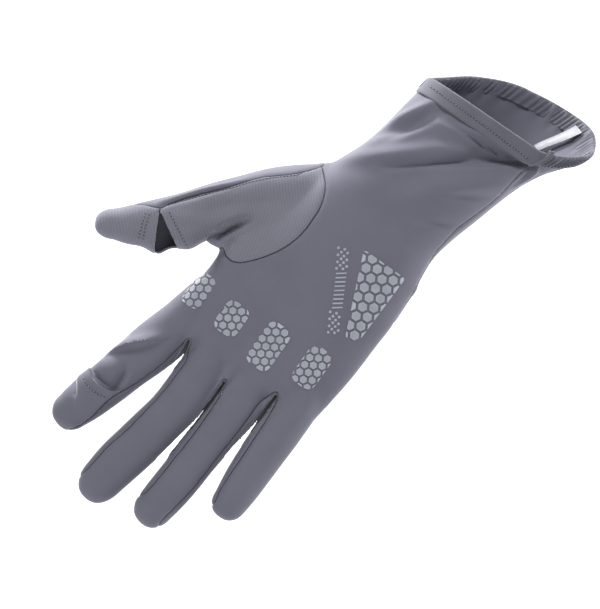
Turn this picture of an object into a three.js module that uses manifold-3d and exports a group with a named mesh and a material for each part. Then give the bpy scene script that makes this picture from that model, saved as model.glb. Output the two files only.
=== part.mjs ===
// A thin stretch-cloth sun glove for a right hand, in millimetres, with the form that a hand gives it.
// +Z runs up the forearm out of the cuff, the fingers hang down, the palm faces -Y
// and the thumb points to -X. The origin is the middle of the cuff's opening.
import * as THREE from "three";
import { mergeVertices } from "three/addons/utils/BufferGeometryUtils.js";
import Module from "manifold-3d";

const wasm = await Module();
wasm.setup();

// Driving dimensions
const WALL = 1.2;
const GAP = 0.3;
const BAND_THICKNESS = 1.2;
const FRONT_SIDES = 18;
const BACK_SIDES = 12;
const FINGER_SIDES = 12;
const FINGER_INSIDES = 8;
const PALM_ROUNDNESS = 2.4;
const FINGER_ROUNDNESS = 2.15;
const FAR = 90;

// The hand's body: level is the height of a section on the palm side, left and right its outline
// in front view, palm and back its depths either side of the middle plane, and lift the share of
// the cuff's rise that it takes.
const BODY = [
  { level: -4, left: -37, right: 35.6, palm: 18, back: 26, lift: 1 },
  { level: -8, left: -37.5, right: 34.6, palm: 18, back: 26, lift: 0.98 },
  { level: -12, left: -38.2, right: 32, palm: 18, back: 26, lift: 0.93 },
  { level: -18, left: -39.6, right: 26, palm: 18.6, back: 25.4, lift: 0.78 },
  { level: -24, left: -40.5, right: 21.5, palm: 19.5, back: 24.5, lift: 0.6 },
  { level: -30, left: -41.5, right: 18.3, palm: 20, back: 24, lift: 0.45 },
  { level: -36, left: -42.7, right: 15.8, palm: 20, back: 23.5, lift: 0.3 },
  { level: -44, left: -45, right: 13.2, palm: 20, back: 23, lift: 0.15 },
  { level: -54, left: -49.5, right: 9.5, palm: 20, back: 22, lift: 0.05 },
  { level: -64, left: -54, right: 7.5, palm: 20, back: 21, lift: 0 },
  { level: -74, left: -57, right: 7.9, palm: 20, back: 20, lift: 0 },
  { level: -86, left: -61, right: 9, palm: 19, back: 18.5, lift: 0 },
  { level: -98, left: -65, right: 9.2, palm: 17.5, back: 17.5, lift: 0 },
  { level: -110, left: -67.4, right: 8.8, palm: 16, back: 16.5, lift: 0 },
  { level: -122, left: -68.3, right: 8.1, palm: 14.5, back: 15.5, lift: 0 },
  { level: -134, left: -70.3, right: 7.2, palm: 12.8, back: 14, lift: 0 },
  { level: -144, left: -73.4, right: 6, palm: 10.6, back: 11.4, lift: 0 },
  { level: -149, left: -74.2, right: 5, palm: 8.2, back: 8.6, lift: 0 },
  { level: -151.5, left: -72, right: 3, palm: 4.5, back: 4.5, lift: 0 },
];

// The rim's rise above its palm side, round the opening: 0 degrees is the little-finger side
// and 90 the back.
const CUFF_RISE = [
  { degrees: -180, rise: 0 },
  { degrees: -66, rise: 0 },
  { degrees: -45, rise: 4.2 },
  { degrees: -25, rise: 9 },
  { degrees: 0, rise: 14 },
  { degrees: 30, rise: 21 },
  { degrees: 60, rise: 24 },
  { degrees: 90, rise: 22 },
  { degrees: 120, rise: 14 },
  { degrees: 150, rise: 4.5 },
  { degrees: 180, rise: 0 },
];

// Each finger's axis from inside the palm to where its round tip starts, with its half width and
// half depth, and how far the tip reaches past the last row.
const FINGERS = {
  index: {
    tip: 8.4,
    rows: [
      { x: -60.5, z: -130, half: 9, depth: 9 },
      { x: -64.4, z: -146, half: 9.8, depth: 9.8 },
      { x: -67.6, z: -160, half: 10.2, depth: 9.7 },
      { x: -71.8, z: -175, half: 9.4, depth: 9.2 },
      { x: -74.9, z: -186, half: 9, depth: 8.8 },
      { x: -77.8, z: -196, half: 8.3, depth: 8 },
      { x: -79.9, z: -204, half: 7.2, depth: 7 },
    ],
  },
  middle: {
    tip: 12,
    rows: [
      { x: -45.6, z: -130, half: 8.8, depth: 9 },
      { x: -45.3, z: -148, half: 9.5, depth: 9.9 },
      { x: -45, z: -165, half: 9.9, depth: 9.7 },
      { x: -46, z: -180, half: 9.7, depth: 9.4 },
      { x: -48, z: -190, half: 9.7, depth: 9.2 },
      { x: -50, z: -200, half: 9.8, depth: 9 },
      { x: -52.1, z: -210, half: 9.6, depth: 8.6 },
      { x: -53.4, z: -219, half: 8.9, depth: 8 },
    ],
  },
  ring: {
    tip: 9,
    rows: [
      { x: -25.6, z: -130, half: 8.6, depth: 8.8 },
      { x: -25, z: -148, half: 9.4, depth: 9.7 },
      { x: -24.6, z: -163, half: 9.5, depth: 9.4 },
      { x: -25.9, z: -180, half: 9, depth: 9 },
      { x: -26.5, z: -190, half: 8.9, depth: 8.8 },
      { x: -27, z: -200, half: 8.8, depth: 8.5 },
      { x: -28, z: -210, half: 8.6, depth: 8.1 },
      { x: -28.8, z: -217, half: 8.1, depth: 7.6 },
    ],
  },
  little: {
    tip: 7.2,
    rows: [
      { x: -5.4, z: -130, half: 8.6, depth: 8.6 },
      { x: -4.5, z: -148, half: 9.5, depth: 9.2 },
      { x: -4.3, z: -160, half: 9.3, depth: 8.9 },
      { x: -4.4, z: -170, half: 9, depth: 8.6 },
      { x: -4.4, z: -180, half: 8.7, depth: 8.2 },
      { x: -4.2, z: -190, half: 7.9, depth: 7.6 },
      { x: -4.2, z: -198, half: 7.1, depth: 6.9 },
    ],
  },
  thumb: {
    tip: 8.5,
    rows: [
      { x: -44, z: -68, half: 13, depth: 12 },
      { x: -57, z: -76.5, half: 12, depth: 12.5 },
      { x: -68, z: -85.5, half: 10.4, depth: 11.2 },
      { x: -78.5, z: -97.5, half: 9.8, depth: 10.4 },
      { x: -87.6, z: -110.4, half: 10.3, depth: 10 },
      { x: -95.5, z: -118.8, half: 9.8, depth: 9.4 },
      { x: -103.5, z: -125, half: 8.6, depth: 8.4 },
      { x: -110, z: -129.2, half: 7.1, depth: 7 },
    ],
  },
};

// A round tip: its sections by their turn from the last row, and how full its outline is.
const TIP = { turns: [26, 50, 70, 83], fullness: 0.85 };

// Folds of the cloth on the palm side, each on a curve in front view from one point past a bend
// to another, with the fold's half width and its height, which is negative for a valley.
const FOLDS = [
  { from: [-31, -13], bend: [-36, -24], to: [-43, -35], half: 3, height: 1.1 },
  { from: [-26, -14], bend: [-34, -31], to: [-40, -39], half: 3, height: -0.7 },
  { from: [-27, -24], bend: [-36, -36], to: [-46, -46], half: 3.2, height: 1.2 },
  { from: [-10, -22], bend: [-24, -36], to: [-46, -52], half: 5, height: 1.6 },
  { from: [17, -12], bend: [0, -17], to: [-30, -50], half: 4.5, height: -1.6 },
  { from: [15, -20], bend: [2, -30], to: [-16, -50], half: 5, height: 0.7 },
  { from: [-68, -160], bend: [-75, -166], to: [-81, -175], half: 2.4, height: 0.8 },
  { from: [-82, -183], bend: [-77, -180], to: [-71, -183], half: 5, height: 0.9 },
];

// The gathers under the elastic band: how many round the cuff, how deep at the rim, and the level
// where they end.
const GATHERS = { count: 6, depth: 0.9, gone: -58 };

// The seam between the palm and back panels: how far in front of the middle plane it lies where it
// shows on the palm side, how much further along the thumb, and how far behind that plane where the
// panels meet round the side. The block that cuts along it spans the glove in front view.
const SEAM = { front: 4.6, thumb: 3, behind: 2.5 };
const SEAM_BLOCK = { left: -137, right: 63, bottom: -250, top: 60, columns: 20, rows: 24 };

// The thumb gusset's seam on the palm, how finely its curve is cut, and the outline beyond it
// that takes in the whole thumb.
const GUSSET = [
  [-56, -57.5],
  [-52, -61.5],
  [-47, -67],
  [-44.2, -74],
  [-43.6, -82],
  [-44.2, -90],
  [-46.6, -97.5],
  [-51, -105],
  [-56, -111],
  [-60, -114],
  [-64, -114.2],
  [-67.5, -112],
];
const GUSSET_STEPS = 24;
const THUMB_SIDE = [
  [-75, -121],
  [-90, -150],
  [-140, -150],
  [-140, -50],
];

// The slit across the thumb: the corner where its lips meet, where each lip crosses the inner side,
// and the outlines that take in the thumb's shaft and its cap.
const SLIT = { corner: [-98.2, -113.4], cap: [-90.4, -133], shaft: [-80, -124.6] };
const SHAFT_SIDE = [
  [-60, -150],
  [-40, -150],
  [-40, -40],
  [-98, -60],
  [-101, -104],
];
const CAP_SIDE = [
  [-103, -100],
  [-140, -100],
  [-140, -150],
  [-88, -150],
];

// The index finger's hood: its hem in front view, its lap over the back, the outline that takes in
// the fingertip, and the outline of what the palm panel leaves out beneath it.
const HOOD = { left: [-88, -182.4], middle: [-77, -192], right: [-63, -183], lap: 0.6 };
const HOOD_SIDE = [
  [-60, -225],
  [-100, -225],
];
const UNDER_HOOD = [
  [-95, -197],
  [-66.5, -197],
  [-66, -225],
  [-95, -225],
];

// The curl of the fingers, the thumb's reach in front of the palm, and the hollow of the palm.
const CURL = { start: -138, length: 93, depth: 9, power: 1.7 };
const REACH = { root: [-50, -70], along: [-0.733, -0.68], start: 14, end: 80, depth: 17, web: [14, 27] };
const HOLLOW = { middle: -30, rate: 0.0011, start: -60, end: -110, ball: 30 };

// The silicone grip prints on the palm: the corners of each in front view, and how far they are rounded.
const FILM = 0.5;
const PAD_ROUND = 3.6;
const HEEL_ROUND = 1.6;
const GRIP_PADS = [
  { name: "grip_pad_index", left: -69.4, right: -60.8, top: -124.6, bottom: -140 },
  { name: "grip_pad_middle", left: -53, right: -42, top: -126.9, bottom: -141.2 },
  { name: "grip_pad_ring", left: -33.9, right: -22.7, top: -124.3, bottom: -145 },
  { name: "grip_pad_little", left: -13.9, right: -3, top: -122.4, bottom: -140.5 },
];
const HEEL_PAD = [
  [-19, -79],
  [2, -79],
  [1.2, -112.6],
  [-4.4, -113.4],
];

// The two cuff bands: the row of BODY where they end, where they meet, counted in sections round the
// cuff, and how far the elastic band's ripples stand out.
const BAND_END = 2;
const BAND_SEAMS = { back: 8.6, palm: BACK_SIDES + 11.9, clear: 0.04 };
const RIPPLE = 0.5;

// The label inside the cuff: its span round the opening in degrees, the rows of BODY that it covers,
// and how far its free end leans inwards.
const LABEL = { from: 36, to: 50, top: 0.9, bottom: 3.6, thickness: 1, clear: 0.6, lean: 1.5 };

// How far the hollow is carried on above the rim, so that the cuff stays open.
const ABOVE_RIM = 12;

// A smooth step from 0 to 1 between two values, which may run downwards.
function smooth(start, end, value) {
  const t = THREE.MathUtils.clamp((value - start) / (end - start), 0, 1);
  return t * t * (3 - 2 * t);
}

// A column of a table at a place between its rows, on a Catmull-Rom curve.
function column(rows, key, place) {
  const last = rows.length - 1;
  const i = THREE.MathUtils.clamp(Math.floor(place), 0, last - 1);
  const t = THREE.MathUtils.clamp(place, 0, last) - i;
  const [a, b, c, d] = [i - 1, i, i + 1, i + 2].map((k) => rows[THREE.MathUtils.clamp(k, 0, last)][key]);
  return b + 0.5 * t * (c - a + t * (2 * a - 5 * b + 4 * c - d + t * (3 * (b - c) + d - a)));
}

function cuffRise(angle) {
  const turns = angle / (2 * Math.PI);
  const degrees = 360 * (turns - Math.round(turns));
  const next = CUFF_RISE.findIndex((row) => row.degrees > degrees);
  const i = next < 0 ? CUFF_RISE.length - 2 : next - 1;
  const [a, b] = [CUFF_RISE[i].degrees, CUFF_RISE[i + 1].degrees];
  return column(CUFF_RISE, "rise", i + (degrees - a) / (b - a));
}

// The height of all the folds at a point in front view.
const FOLD_CURVES = FOLDS.map((fold) => {
  const ends = [fold.from, fold.bend, fold.to].map(([x, z]) => new THREE.Vector2(x, z));
  return { ...fold, points: new THREE.QuadraticBezierCurve(...ends).getPoints(16) };
});
function foldHeight(x, z) {
  const point = new THREE.Vector2(x, z);
  return FOLD_CURVES.reduce((sum, { points, half, height }) => {
    const distances = points.map((p) => p.distanceTo(point));
    const nearest = Math.min(...distances);
    const share = distances.indexOf(nearest) / (points.length - 1);
    const taper = 0.35 + 0.65 * Math.sin(Math.PI * share);
    return sum + height * taper * Math.exp(-((nearest / half) ** 2));
  }, 0);
}

// How far a point in front view lies along the thumb from its root, and how far beside the thumb's axis.
function besideThumb(x, z) {
  const [dx, dz] = [x - REACH.root[0], z - REACH.root[1]];
  const [ax, az] = REACH.along;
  return { along: dx * ax + dz * az, beside: dz * ax - dx * az };
}

// The depth that the curl, the thumb's reach and the hollow of the palm add at a point in front view.
function poseDepth(x, z) {
  const curl = CURL.depth * Math.max(0, (CURL.start - z) / CURL.length) ** CURL.power;
  const { along, beside } = besideThumb(x, z);
  const thumb = smooth(REACH.web[1], REACH.web[0], beside);
  const reach = REACH.depth * smooth(REACH.start, REACH.end, along) * thumb;
  const hollow = smooth(HOLLOW.start, HOLLOW.end, z) * (1 - smooth(0, HOLLOW.ball, along) * thumb);
  return -curl - reach - hollow * HOLLOW.rate * (x - HOLLOW.middle) ** 2;
}

// Cosine and sine with the section's corners filled out.
function rounded(angle, roundness) {
  return [Math.cos(angle), Math.sin(angle)].map((v) => Math.sign(v) * Math.abs(v) ** (2 / roundness));
}

// A point of the hand's body: a place in its table, an angle round it, and how far it lies outside
// the surface.
function bodyPoint(place, angle, grow) {
  const [across, out] = rounded(angle, PALM_ROUNDNESS);
  const left = column(BODY, "left", place) - grow;
  const right = column(BODY, "right", place) + grow;
  const level = column(BODY, "level", place);
  const x = (left + right) / 2 + ((right - left) / 2) * across;
  const z = level + column(BODY, "lift", place) * cuffRise(angle);
  const depth = column(BODY, out < 0 ? "palm" : "back", place) + grow;
  const gathers = GATHERS.depth * smooth(GATHERS.gone, -8, level) * Math.sin(angle * GATHERS.count);
  const relief = out < 0 ? -foldHeight(x, z) * smooth(0.1, 0.7, -out) : gathers * smooth(0.05, 0.5, out);
  return new THREE.Vector3(x, depth * out + relief + poseDepth(x, z), z);
}

// The angles round a section of the body, closer together on the palm side.
const BODY_ANGLES = [
  ...Array.from({ length: BACK_SIDES }, (_, i) => (Math.PI * i) / BACK_SIDES),
  ...Array.from({ length: FRONT_SIDES }, (_, i) => Math.PI * (1 + i / FRONT_SIDES)),
];

// The places of the body's sections in its table: each row, and one between each two where the wrist
// has folds.
const BODY_PLACES = BODY.flatMap(({ level }, i) => (level < -10 && level > -40 ? [i, i + 0.5] : [i]));

// A solid through points and triangles, turned so that its faces point outwards.
function solid(points, faces) {
  const vertProperties = new Float32Array(points.flatMap((p) => [p.x, p.y, p.z]));
  const closed = (list) => {
    const triVerts = new Uint32Array(list.flat());
    return new wasm.Manifold(new wasm.Mesh({ numProp: 3, vertProperties, triVerts }));
  };
  const made = closed(faces);
  return made.volume() > 0 ? made : closed(faces.map(([a, b, c]) => [a, c, b]));
}

function solidOf(geometry) {
  const bare = new THREE.BufferGeometry();
  bare.setAttribute("position", geometry.getAttribute("position"));
  bare.setIndex(geometry.index);
  const merged = mergeVertices(bare, 1e-4);
  const position = merged.getAttribute("position");
  const points = Array.from({ length: position.count }, (_, i) =>
    new THREE.Vector3().fromBufferAttribute(position, i),
  );
  const corners = [...merged.index.array];
  const faces = Array.from({ length: corners.length / 3 }, (_, i) => corners.slice(3 * i, 3 * i + 3));
  return solid(points, faces);
}

// A closed solid through rings of equal length, each end fanned to its middle.
function loft(rings) {
  const sides = rings[0].length;
  const points = rings.flat();
  const faces = [];
  for (let r = 0; r + 1 < rings.length; r++)
    for (let k = 0; k < sides; k++) {
      const [a, b] = [r * sides + k, r * sides + ((k + 1) % sides)];
      faces.push([a, b, b + sides], [a, b + sides, a + sides]);
    }
  for (const [ring, start] of [
    [rings[0], 0],
    [rings.at(-1), (rings.length - 1) * sides],
  ]) {
    const middle = points.length;
    points.push(ring.reduce((sum, p) => sum.addScaledVector(p, 1 / sides), new THREE.Vector3()));
    for (let k = 0; k < sides; k++) {
      const [a, b] = [start + k, start + ((k + 1) % sides)];
      faces.push(start ? [a, b, middle] : [b, a, middle]);
    }
  }
  return solid(points, faces);
}

// The hand's body with its surface moved outwards by grow, and carried on above the rim by raise.
function body(grow, raise) {
  const rings = BODY_PLACES.map((place) => BODY_ANGLES.map((angle) => bodyPoint(place, angle, grow)));
  rings.at(-1).forEach((p) => (p.z -= grow));
  if (raise > 0) rings.unshift(rings[0].map((p) => p.clone().setZ(p.z + raise)));
  return loft(rings);
}

// A section of a finger across its axis.
function fingerRing({ x, z, half, depth, axis }, sides) {
  return Array.from({ length: sides }, (_, i) => {
    const [across, out] = rounded((2 * Math.PI * i) / sides, FINGER_ROUNDNESS);
    const point = new THREE.Vector3(x - axis.y * half * across, depth * out, z + axis.x * half * across);
    if (out < 0) point.y -= foldHeight(point.x, point.z) * smooth(0.1, 0.7, -out);
    point.y += poseDepth(point.x, point.z);
    return point;
  });
}

// A finger: a tube along its axis with a round tip, its surface moved outwards by grow.
function finger({ rows, tip }, grow) {
  const sections = rows.map((row, place) => {
    const ahead = new THREE.Vector2(column(rows, "x", place + 0.1), column(rows, "z", place + 0.1));
    const behind = new THREE.Vector2(column(rows, "x", place - 0.1), column(rows, "z", place - 0.1));
    const axis = ahead.sub(behind).normalize();
    return { x: row.x, z: row.z, half: row.half + grow, depth: row.depth + grow, axis };
  });
  const end = sections.at(-1);
  for (const degrees of TIP.turns) {
    const turn = THREE.MathUtils.degToRad(degrees);
    const reach = (tip + grow) * Math.sin(turn);
    const narrow = Math.cos(turn) ** TIP.fullness;
    const [x, z] = [end.x + end.axis.x * reach, end.z + end.axis.y * reach];
    sections.push({ ...end, x, z, half: end.half * narrow, depth: end.depth * narrow });
  }
  const sides = grow < 0 ? FINGER_INSIDES : FINGER_SIDES;
  return loft(sections.map((section) => fingerRing(section, sides)));
}

// The whole hand with its surface moved outwards by grow.
function hand(grow, raise = 0) {
  return Object.values(FINGERS).reduce((sum, row) => sum.add(finger(row, grow)), body(grow, raise));
}

// A prism with its outline in front view, between two depths.
function prism(outline, near = -FAR, far = FAR) {
  const shape = new THREE.Shape(outline.map(([x, z]) => new THREE.Vector2(x, z)));
  const geometry = new THREE.ExtrudeGeometry(shape, { depth: far - near, bevelEnabled: false });
  geometry.rotateX(Math.PI / 2);
  geometry.translate(0, far, 0);
  return solidOf(geometry);
}

// The depth of the seam between palm and back, which runs round the side of the hand at the thumb's wrist,
// along the index finger and along the little finger.
function seamDepth(x, z) {
  const { beside } = besideThumb(x, z);
  const indexAxis = THREE.MathUtils.mapLinear(z, -130, -204, -60.5, -79.9);
  const indexSide = smooth(2, -4, x - indexAxis) * smooth(-104, -116, z) * smooth(12, 22, beside);
  const thumbWrist = smooth(-24, -34, x) * smooth(-74, -50, z);
  const littleSide = smooth(-1, 4, x) * smooth(-76, -84, z);
  const front = SEAM.front + SEAM.thumb * smooth(0, -10, beside);
  return THREE.MathUtils.lerp(-front, SEAM.behind, Math.max(thumbWrist, littleSide, indexSide));
}

// All that lies in front of the seam, moved back by a distance.
function beforeSeam(distance) {
  const { left, right, bottom, top, columns, rows } = SEAM_BLOCK;
  const block = new THREE.BoxGeometry(right - left, 2, top - bottom, columns, 1, rows);
  block.translate((left + right) / 2, 0, (top + bottom) / 2);
  const position = block.getAttribute("position");
  for (let i = 0; i < position.count; i++) {
    const [x, z] = [position.getX(i), position.getZ(i)];
    const seam = seamDepth(x, z) + poseDepth(x, z) + distance;
    position.setY(i, position.getY(i) < 0 ? -FAR : seam);
  }
  return solidOf(block);
}

// The gusset's outline, moved away from the thumb by a margin.
function gussetOutline(margin) {
  const curve = new THREE.SplineCurve(GUSSET.map(([x, z]) => new THREE.Vector2(x, z)));
  const edge = Array.from({ length: GUSSET_STEPS + 1 }, (_, k) => {
    const point = curve.getPoint(k / GUSSET_STEPS);
    const along = curve.getTangent(k / GUSSET_STEPS);
    return [point.x - along.y * margin, point.y + along.x * margin];
  });
  return [...edge, ...THUMB_SIDE];
}

// An outline with its corners rounded.
function roundCorners(corners, radius) {
  return corners.flatMap(([x, z], i) => {
    const corner = new THREE.Vector2(x, z);
    const ends = [corners.at(i - 1), corners[(i + 1) % corners.length]].map(([ex, ez]) => {
      const side = new THREE.Vector2(ex, ez).sub(corner);
      return side.setLength(Math.min(radius, side.length() / 2)).add(corner);
    });
    const arc = new THREE.QuadraticBezierCurve(ends[0], corner, ends[1]);
    return arc.getPoints(3).map((p) => [p.x, p.y]);
  });
}

const glove = new THREE.Group();

function finish(color, roughness) {
  return new THREE.MeshStandardMaterial({ color, roughness, metalness: 0 });
}

// Adds the largest body of a solid to the glove, without the slivers that a cut leaves.
function addPiece(name, piece, material) {
  const whole = piece.decompose().reduce((a, b) => (b.volume() > a.volume() ? b : a));
  const { vertProperties, triVerts, numProp } = whole.getMesh();
  const points = vertProperties.filter((_, i) => i % numProp < 3);
  const geometry = new THREE.BufferGeometry();
  geometry.setAttribute("position", new THREE.Float32BufferAttribute(points, 3));
  geometry.setIndex(new THREE.BufferAttribute(new Uint32Array(triVerts), 1));
  const mesh = new THREE.Mesh(geometry, material);
  mesh.name = name;
  glove.add(mesh);
}

// The shell and its back panel
const shell = hand(0).subtract(hand(-WALL, ABOVE_RIM));
const front = shell.intersect(beforeSeam(-GAP / 2));
addPiece("back_panel", shell.subtract(beforeSeam(GAP / 2)), finish(0x6b6b78, 0.72));

// The palm panel, short of the thumb's gusset and of the index fingertip
const palm = front.subtract(prism(gussetOutline(GAP / 2))).subtract(prism(UNDER_HOOD));
addPiece("palm_panel", palm, finish(0x6b6b78, 0.72));

// The thumb's front, parted by its slit into the panel and the cap
const thumbFront = front.intersect(prism(gussetOutline(-GAP / 2)));
const shaftOutline = [SLIT.corner, SLIT.shaft, ...SHAFT_SIDE];
const capOutline = [[SLIT.corner[0] - GAP, SLIT.corner[1]], ...CAP_SIDE, SLIT.cap];
addPiece("thumb_panel", thumbFront.intersect(prism(shaftOutline)), finish(0x6d6d79, 0.8));
addPiece("thumb_cap", thumbFront.intersect(prism(capOutline)), finish(0x6d6d79, 0.8));

// The index finger's hood, a second layer over the end of the palm panel
const hem = new THREE.QuadraticBezierCurve(
  ...[HOOD.left, HOOD.middle, HOOD.right].map(([x, z]) => new THREE.Vector2(x, z)),
);
const belowHem = [...hem.getPoints(8).map((p) => [p.x, p.y]), ...HOOD_SIDE];
const overFinger = finger(FINGERS.index, GAP + WALL).subtract(finger(FINGERS.index, GAP));
const hood = overFinger.intersect(prism(belowHem)).intersect(beforeSeam(HOOD.lap));
addPiece("index_cap", hood, finish(0x6b6b78, 0.72));

// A band round the outside of the cuff, which follows the body's facets, with ripples at its half sections.
function cuffBand(start, end, step, ripple) {
  const places = BODY_PLACES.filter((place) => place <= BAND_END);
  const pointAt = (place, section, grow) => {
    const i = Math.floor(section);
    const [a, b] = [i, i + 1].map((k) => bodyPoint(place, BODY_ANGLES[k % BODY_ANGLES.length], grow));
    return a.lerp(b, section - i);
  };
  const sections = [start];
  for (let next = Math.ceil(start); next < end; next += step) sections.push(next);
  const rings = [...sections, end].map((section) => {
    const bulge = section % 1 === step ? ripple : 0;
    const outer = places.map((place) => pointAt(place, section, GAP + BAND_THICKNESS + bulge));
    const inner = places.map((place) => pointAt(place, section, GAP));
    return [...outer, ...inner.reverse()];
  });
  return loft(rings);
}
addPiece("wrist_band", cuffBand(BAND_SEAMS.back, BAND_SEAMS.palm, 1, 0), finish(0x64656f, 0.75));
const elasticStart = BAND_SEAMS.palm + BAND_SEAMS.clear;
const elasticEnd = BODY_ANGLES.length + BAND_SEAMS.back - BAND_SEAMS.clear;
addPiece("elastic_band", cuffBand(elasticStart, elasticEnd, 0.5, RIPPLE), finish(0x64656f, 0.75));

// The label, which hangs from the rim inside the cuff
const labelAngles = Array.from({ length: 7 }, (_, i) =>
  THREE.MathUtils.degToRad(THREE.MathUtils.lerp(LABEL.from, LABEL.to, i / 6)),
);
const labelRings = Array.from({ length: 6 }, (_, k) => {
  const inward = WALL + LABEL.clear + (LABEL.lean * k) / 5;
  const place = THREE.MathUtils.lerp(LABEL.top, LABEL.bottom, k / 5);
  const outer = labelAngles.map((angle) => bodyPoint(place, angle, -inward));
  const inner = labelAngles.map((angle) => bodyPoint(place, angle, -inward - LABEL.thickness));
  return [...outer, ...inner.reverse()];
});
addPiece("care_label", loft(labelRings), finish(0xe9ebee, 0.6));

// The grip prints, cut from a thin skin outside the palm panel
const skin = hand(GAP + FILM).subtract(hand(GAP)).intersect(beforeSeam(0));
const addPad = (name, corners, radius) =>
  addPiece(name, skin.intersect(prism(roundCorners(corners, radius))), finish(0x8b929c, 0.35));
for (const { name, left, right, top, bottom } of GRIP_PADS) {
  const corners = [[left, top], [right, top], [right, bottom], [left, bottom]];
  addPad(name, corners, PAD_ROUND);
}
addPad("grip_pad_heel", HEEL_PAD, HEEL_ROUND);

export default glove;
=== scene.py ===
import math
from functools import partial

import bmesh
import bpy
import numpy as np
from mathutils import Matrix, Vector, noise
from mathutils.bvhtree import BVHTree
from mathutils.kdtree import KDTree


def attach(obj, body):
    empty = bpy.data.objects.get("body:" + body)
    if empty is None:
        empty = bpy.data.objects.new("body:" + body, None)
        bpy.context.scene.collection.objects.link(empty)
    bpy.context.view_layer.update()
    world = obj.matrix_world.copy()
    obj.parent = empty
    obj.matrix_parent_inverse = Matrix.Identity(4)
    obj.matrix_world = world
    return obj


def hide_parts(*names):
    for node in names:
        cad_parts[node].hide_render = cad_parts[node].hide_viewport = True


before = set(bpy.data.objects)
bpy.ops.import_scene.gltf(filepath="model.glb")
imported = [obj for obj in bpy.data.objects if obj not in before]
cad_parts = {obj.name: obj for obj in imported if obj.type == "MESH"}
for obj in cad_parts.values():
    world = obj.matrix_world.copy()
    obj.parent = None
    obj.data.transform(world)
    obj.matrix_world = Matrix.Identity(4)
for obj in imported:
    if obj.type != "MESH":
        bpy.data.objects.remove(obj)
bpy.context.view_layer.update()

bl_info = {
    "name": "Sun glove",
    "version": (1, 0, 0),
    "blender": (4, 5, 0),
    "location": "View3D > Sidebar > Sun glove",
    "description": "Models the cloth, bands, stitches and grip prints of a worn sun glove",
    "category": "Object",
}

MM = 0.001


def table(columns, *rows):
    return np.array(list(rows), dtype=[(name, float) for name in columns.split()])


# Places are in the frame and in millimetres: x across the glove, y to its back and z up to the
# cuff. Outlines and curves in front view are x and z, seen from the palm's side.

# Sections of the glove's body from the cuff to the knuckles.
BODY = table(
    "level left right palm back lift",
    (-4, -37, 36.3, 18, 26, 1),
    (-8, -37.5, 34.6, 18, 26, 0.98),
    (-12, -38.2, 32, 18, 26, 0.93),
    (-18, -39.6, 26, 18.6, 25.4, 0.78),
    (-24, -40.5, 21.5, 19.5, 24.5, 0.6),
    (-30, -41.5, 18.3, 20, 24, 0.45),
    (-36, -42.7, 15.8, 20, 23.5, 0.3),
    (-44, -45, 13.2, 20, 23, 0.15),
    (-54, -49.5, 9.5, 20, 22, 0.05),
    (-64, -54, 7.5, 20, 21, 0),
    (-74, -57, 7.9, 20, 20, 0),
    (-86, -61, 9, 19, 18.5, 0),
    (-98, -65, 9.2, 17.5, 17.5, 0),
    (-110, -67.4, 8.8, 16, 16.5, 0),
    (-122, -67.8, 8.1, 14.5, 15.5, 0),
    (-134, -69.6, 7.2, 12.8, 14, 0),
    (-144, -72.7, 6, 10.6, 11.4, 0),
    (-149, -73.6, 5, 9.3, 9.6, 0),
    (-152.5, -71.5, 3, 6, 6, 0),
)
CUFF_RISE = table(
    "degrees rise",
    (-180, 0), (-66, 0), (-45, 4.2), (-25, 9), (0, 14), (30, 22),
    (60, 24), (90, 22), (120, 14), (150, 4.5), (180, 0),
)
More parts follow.
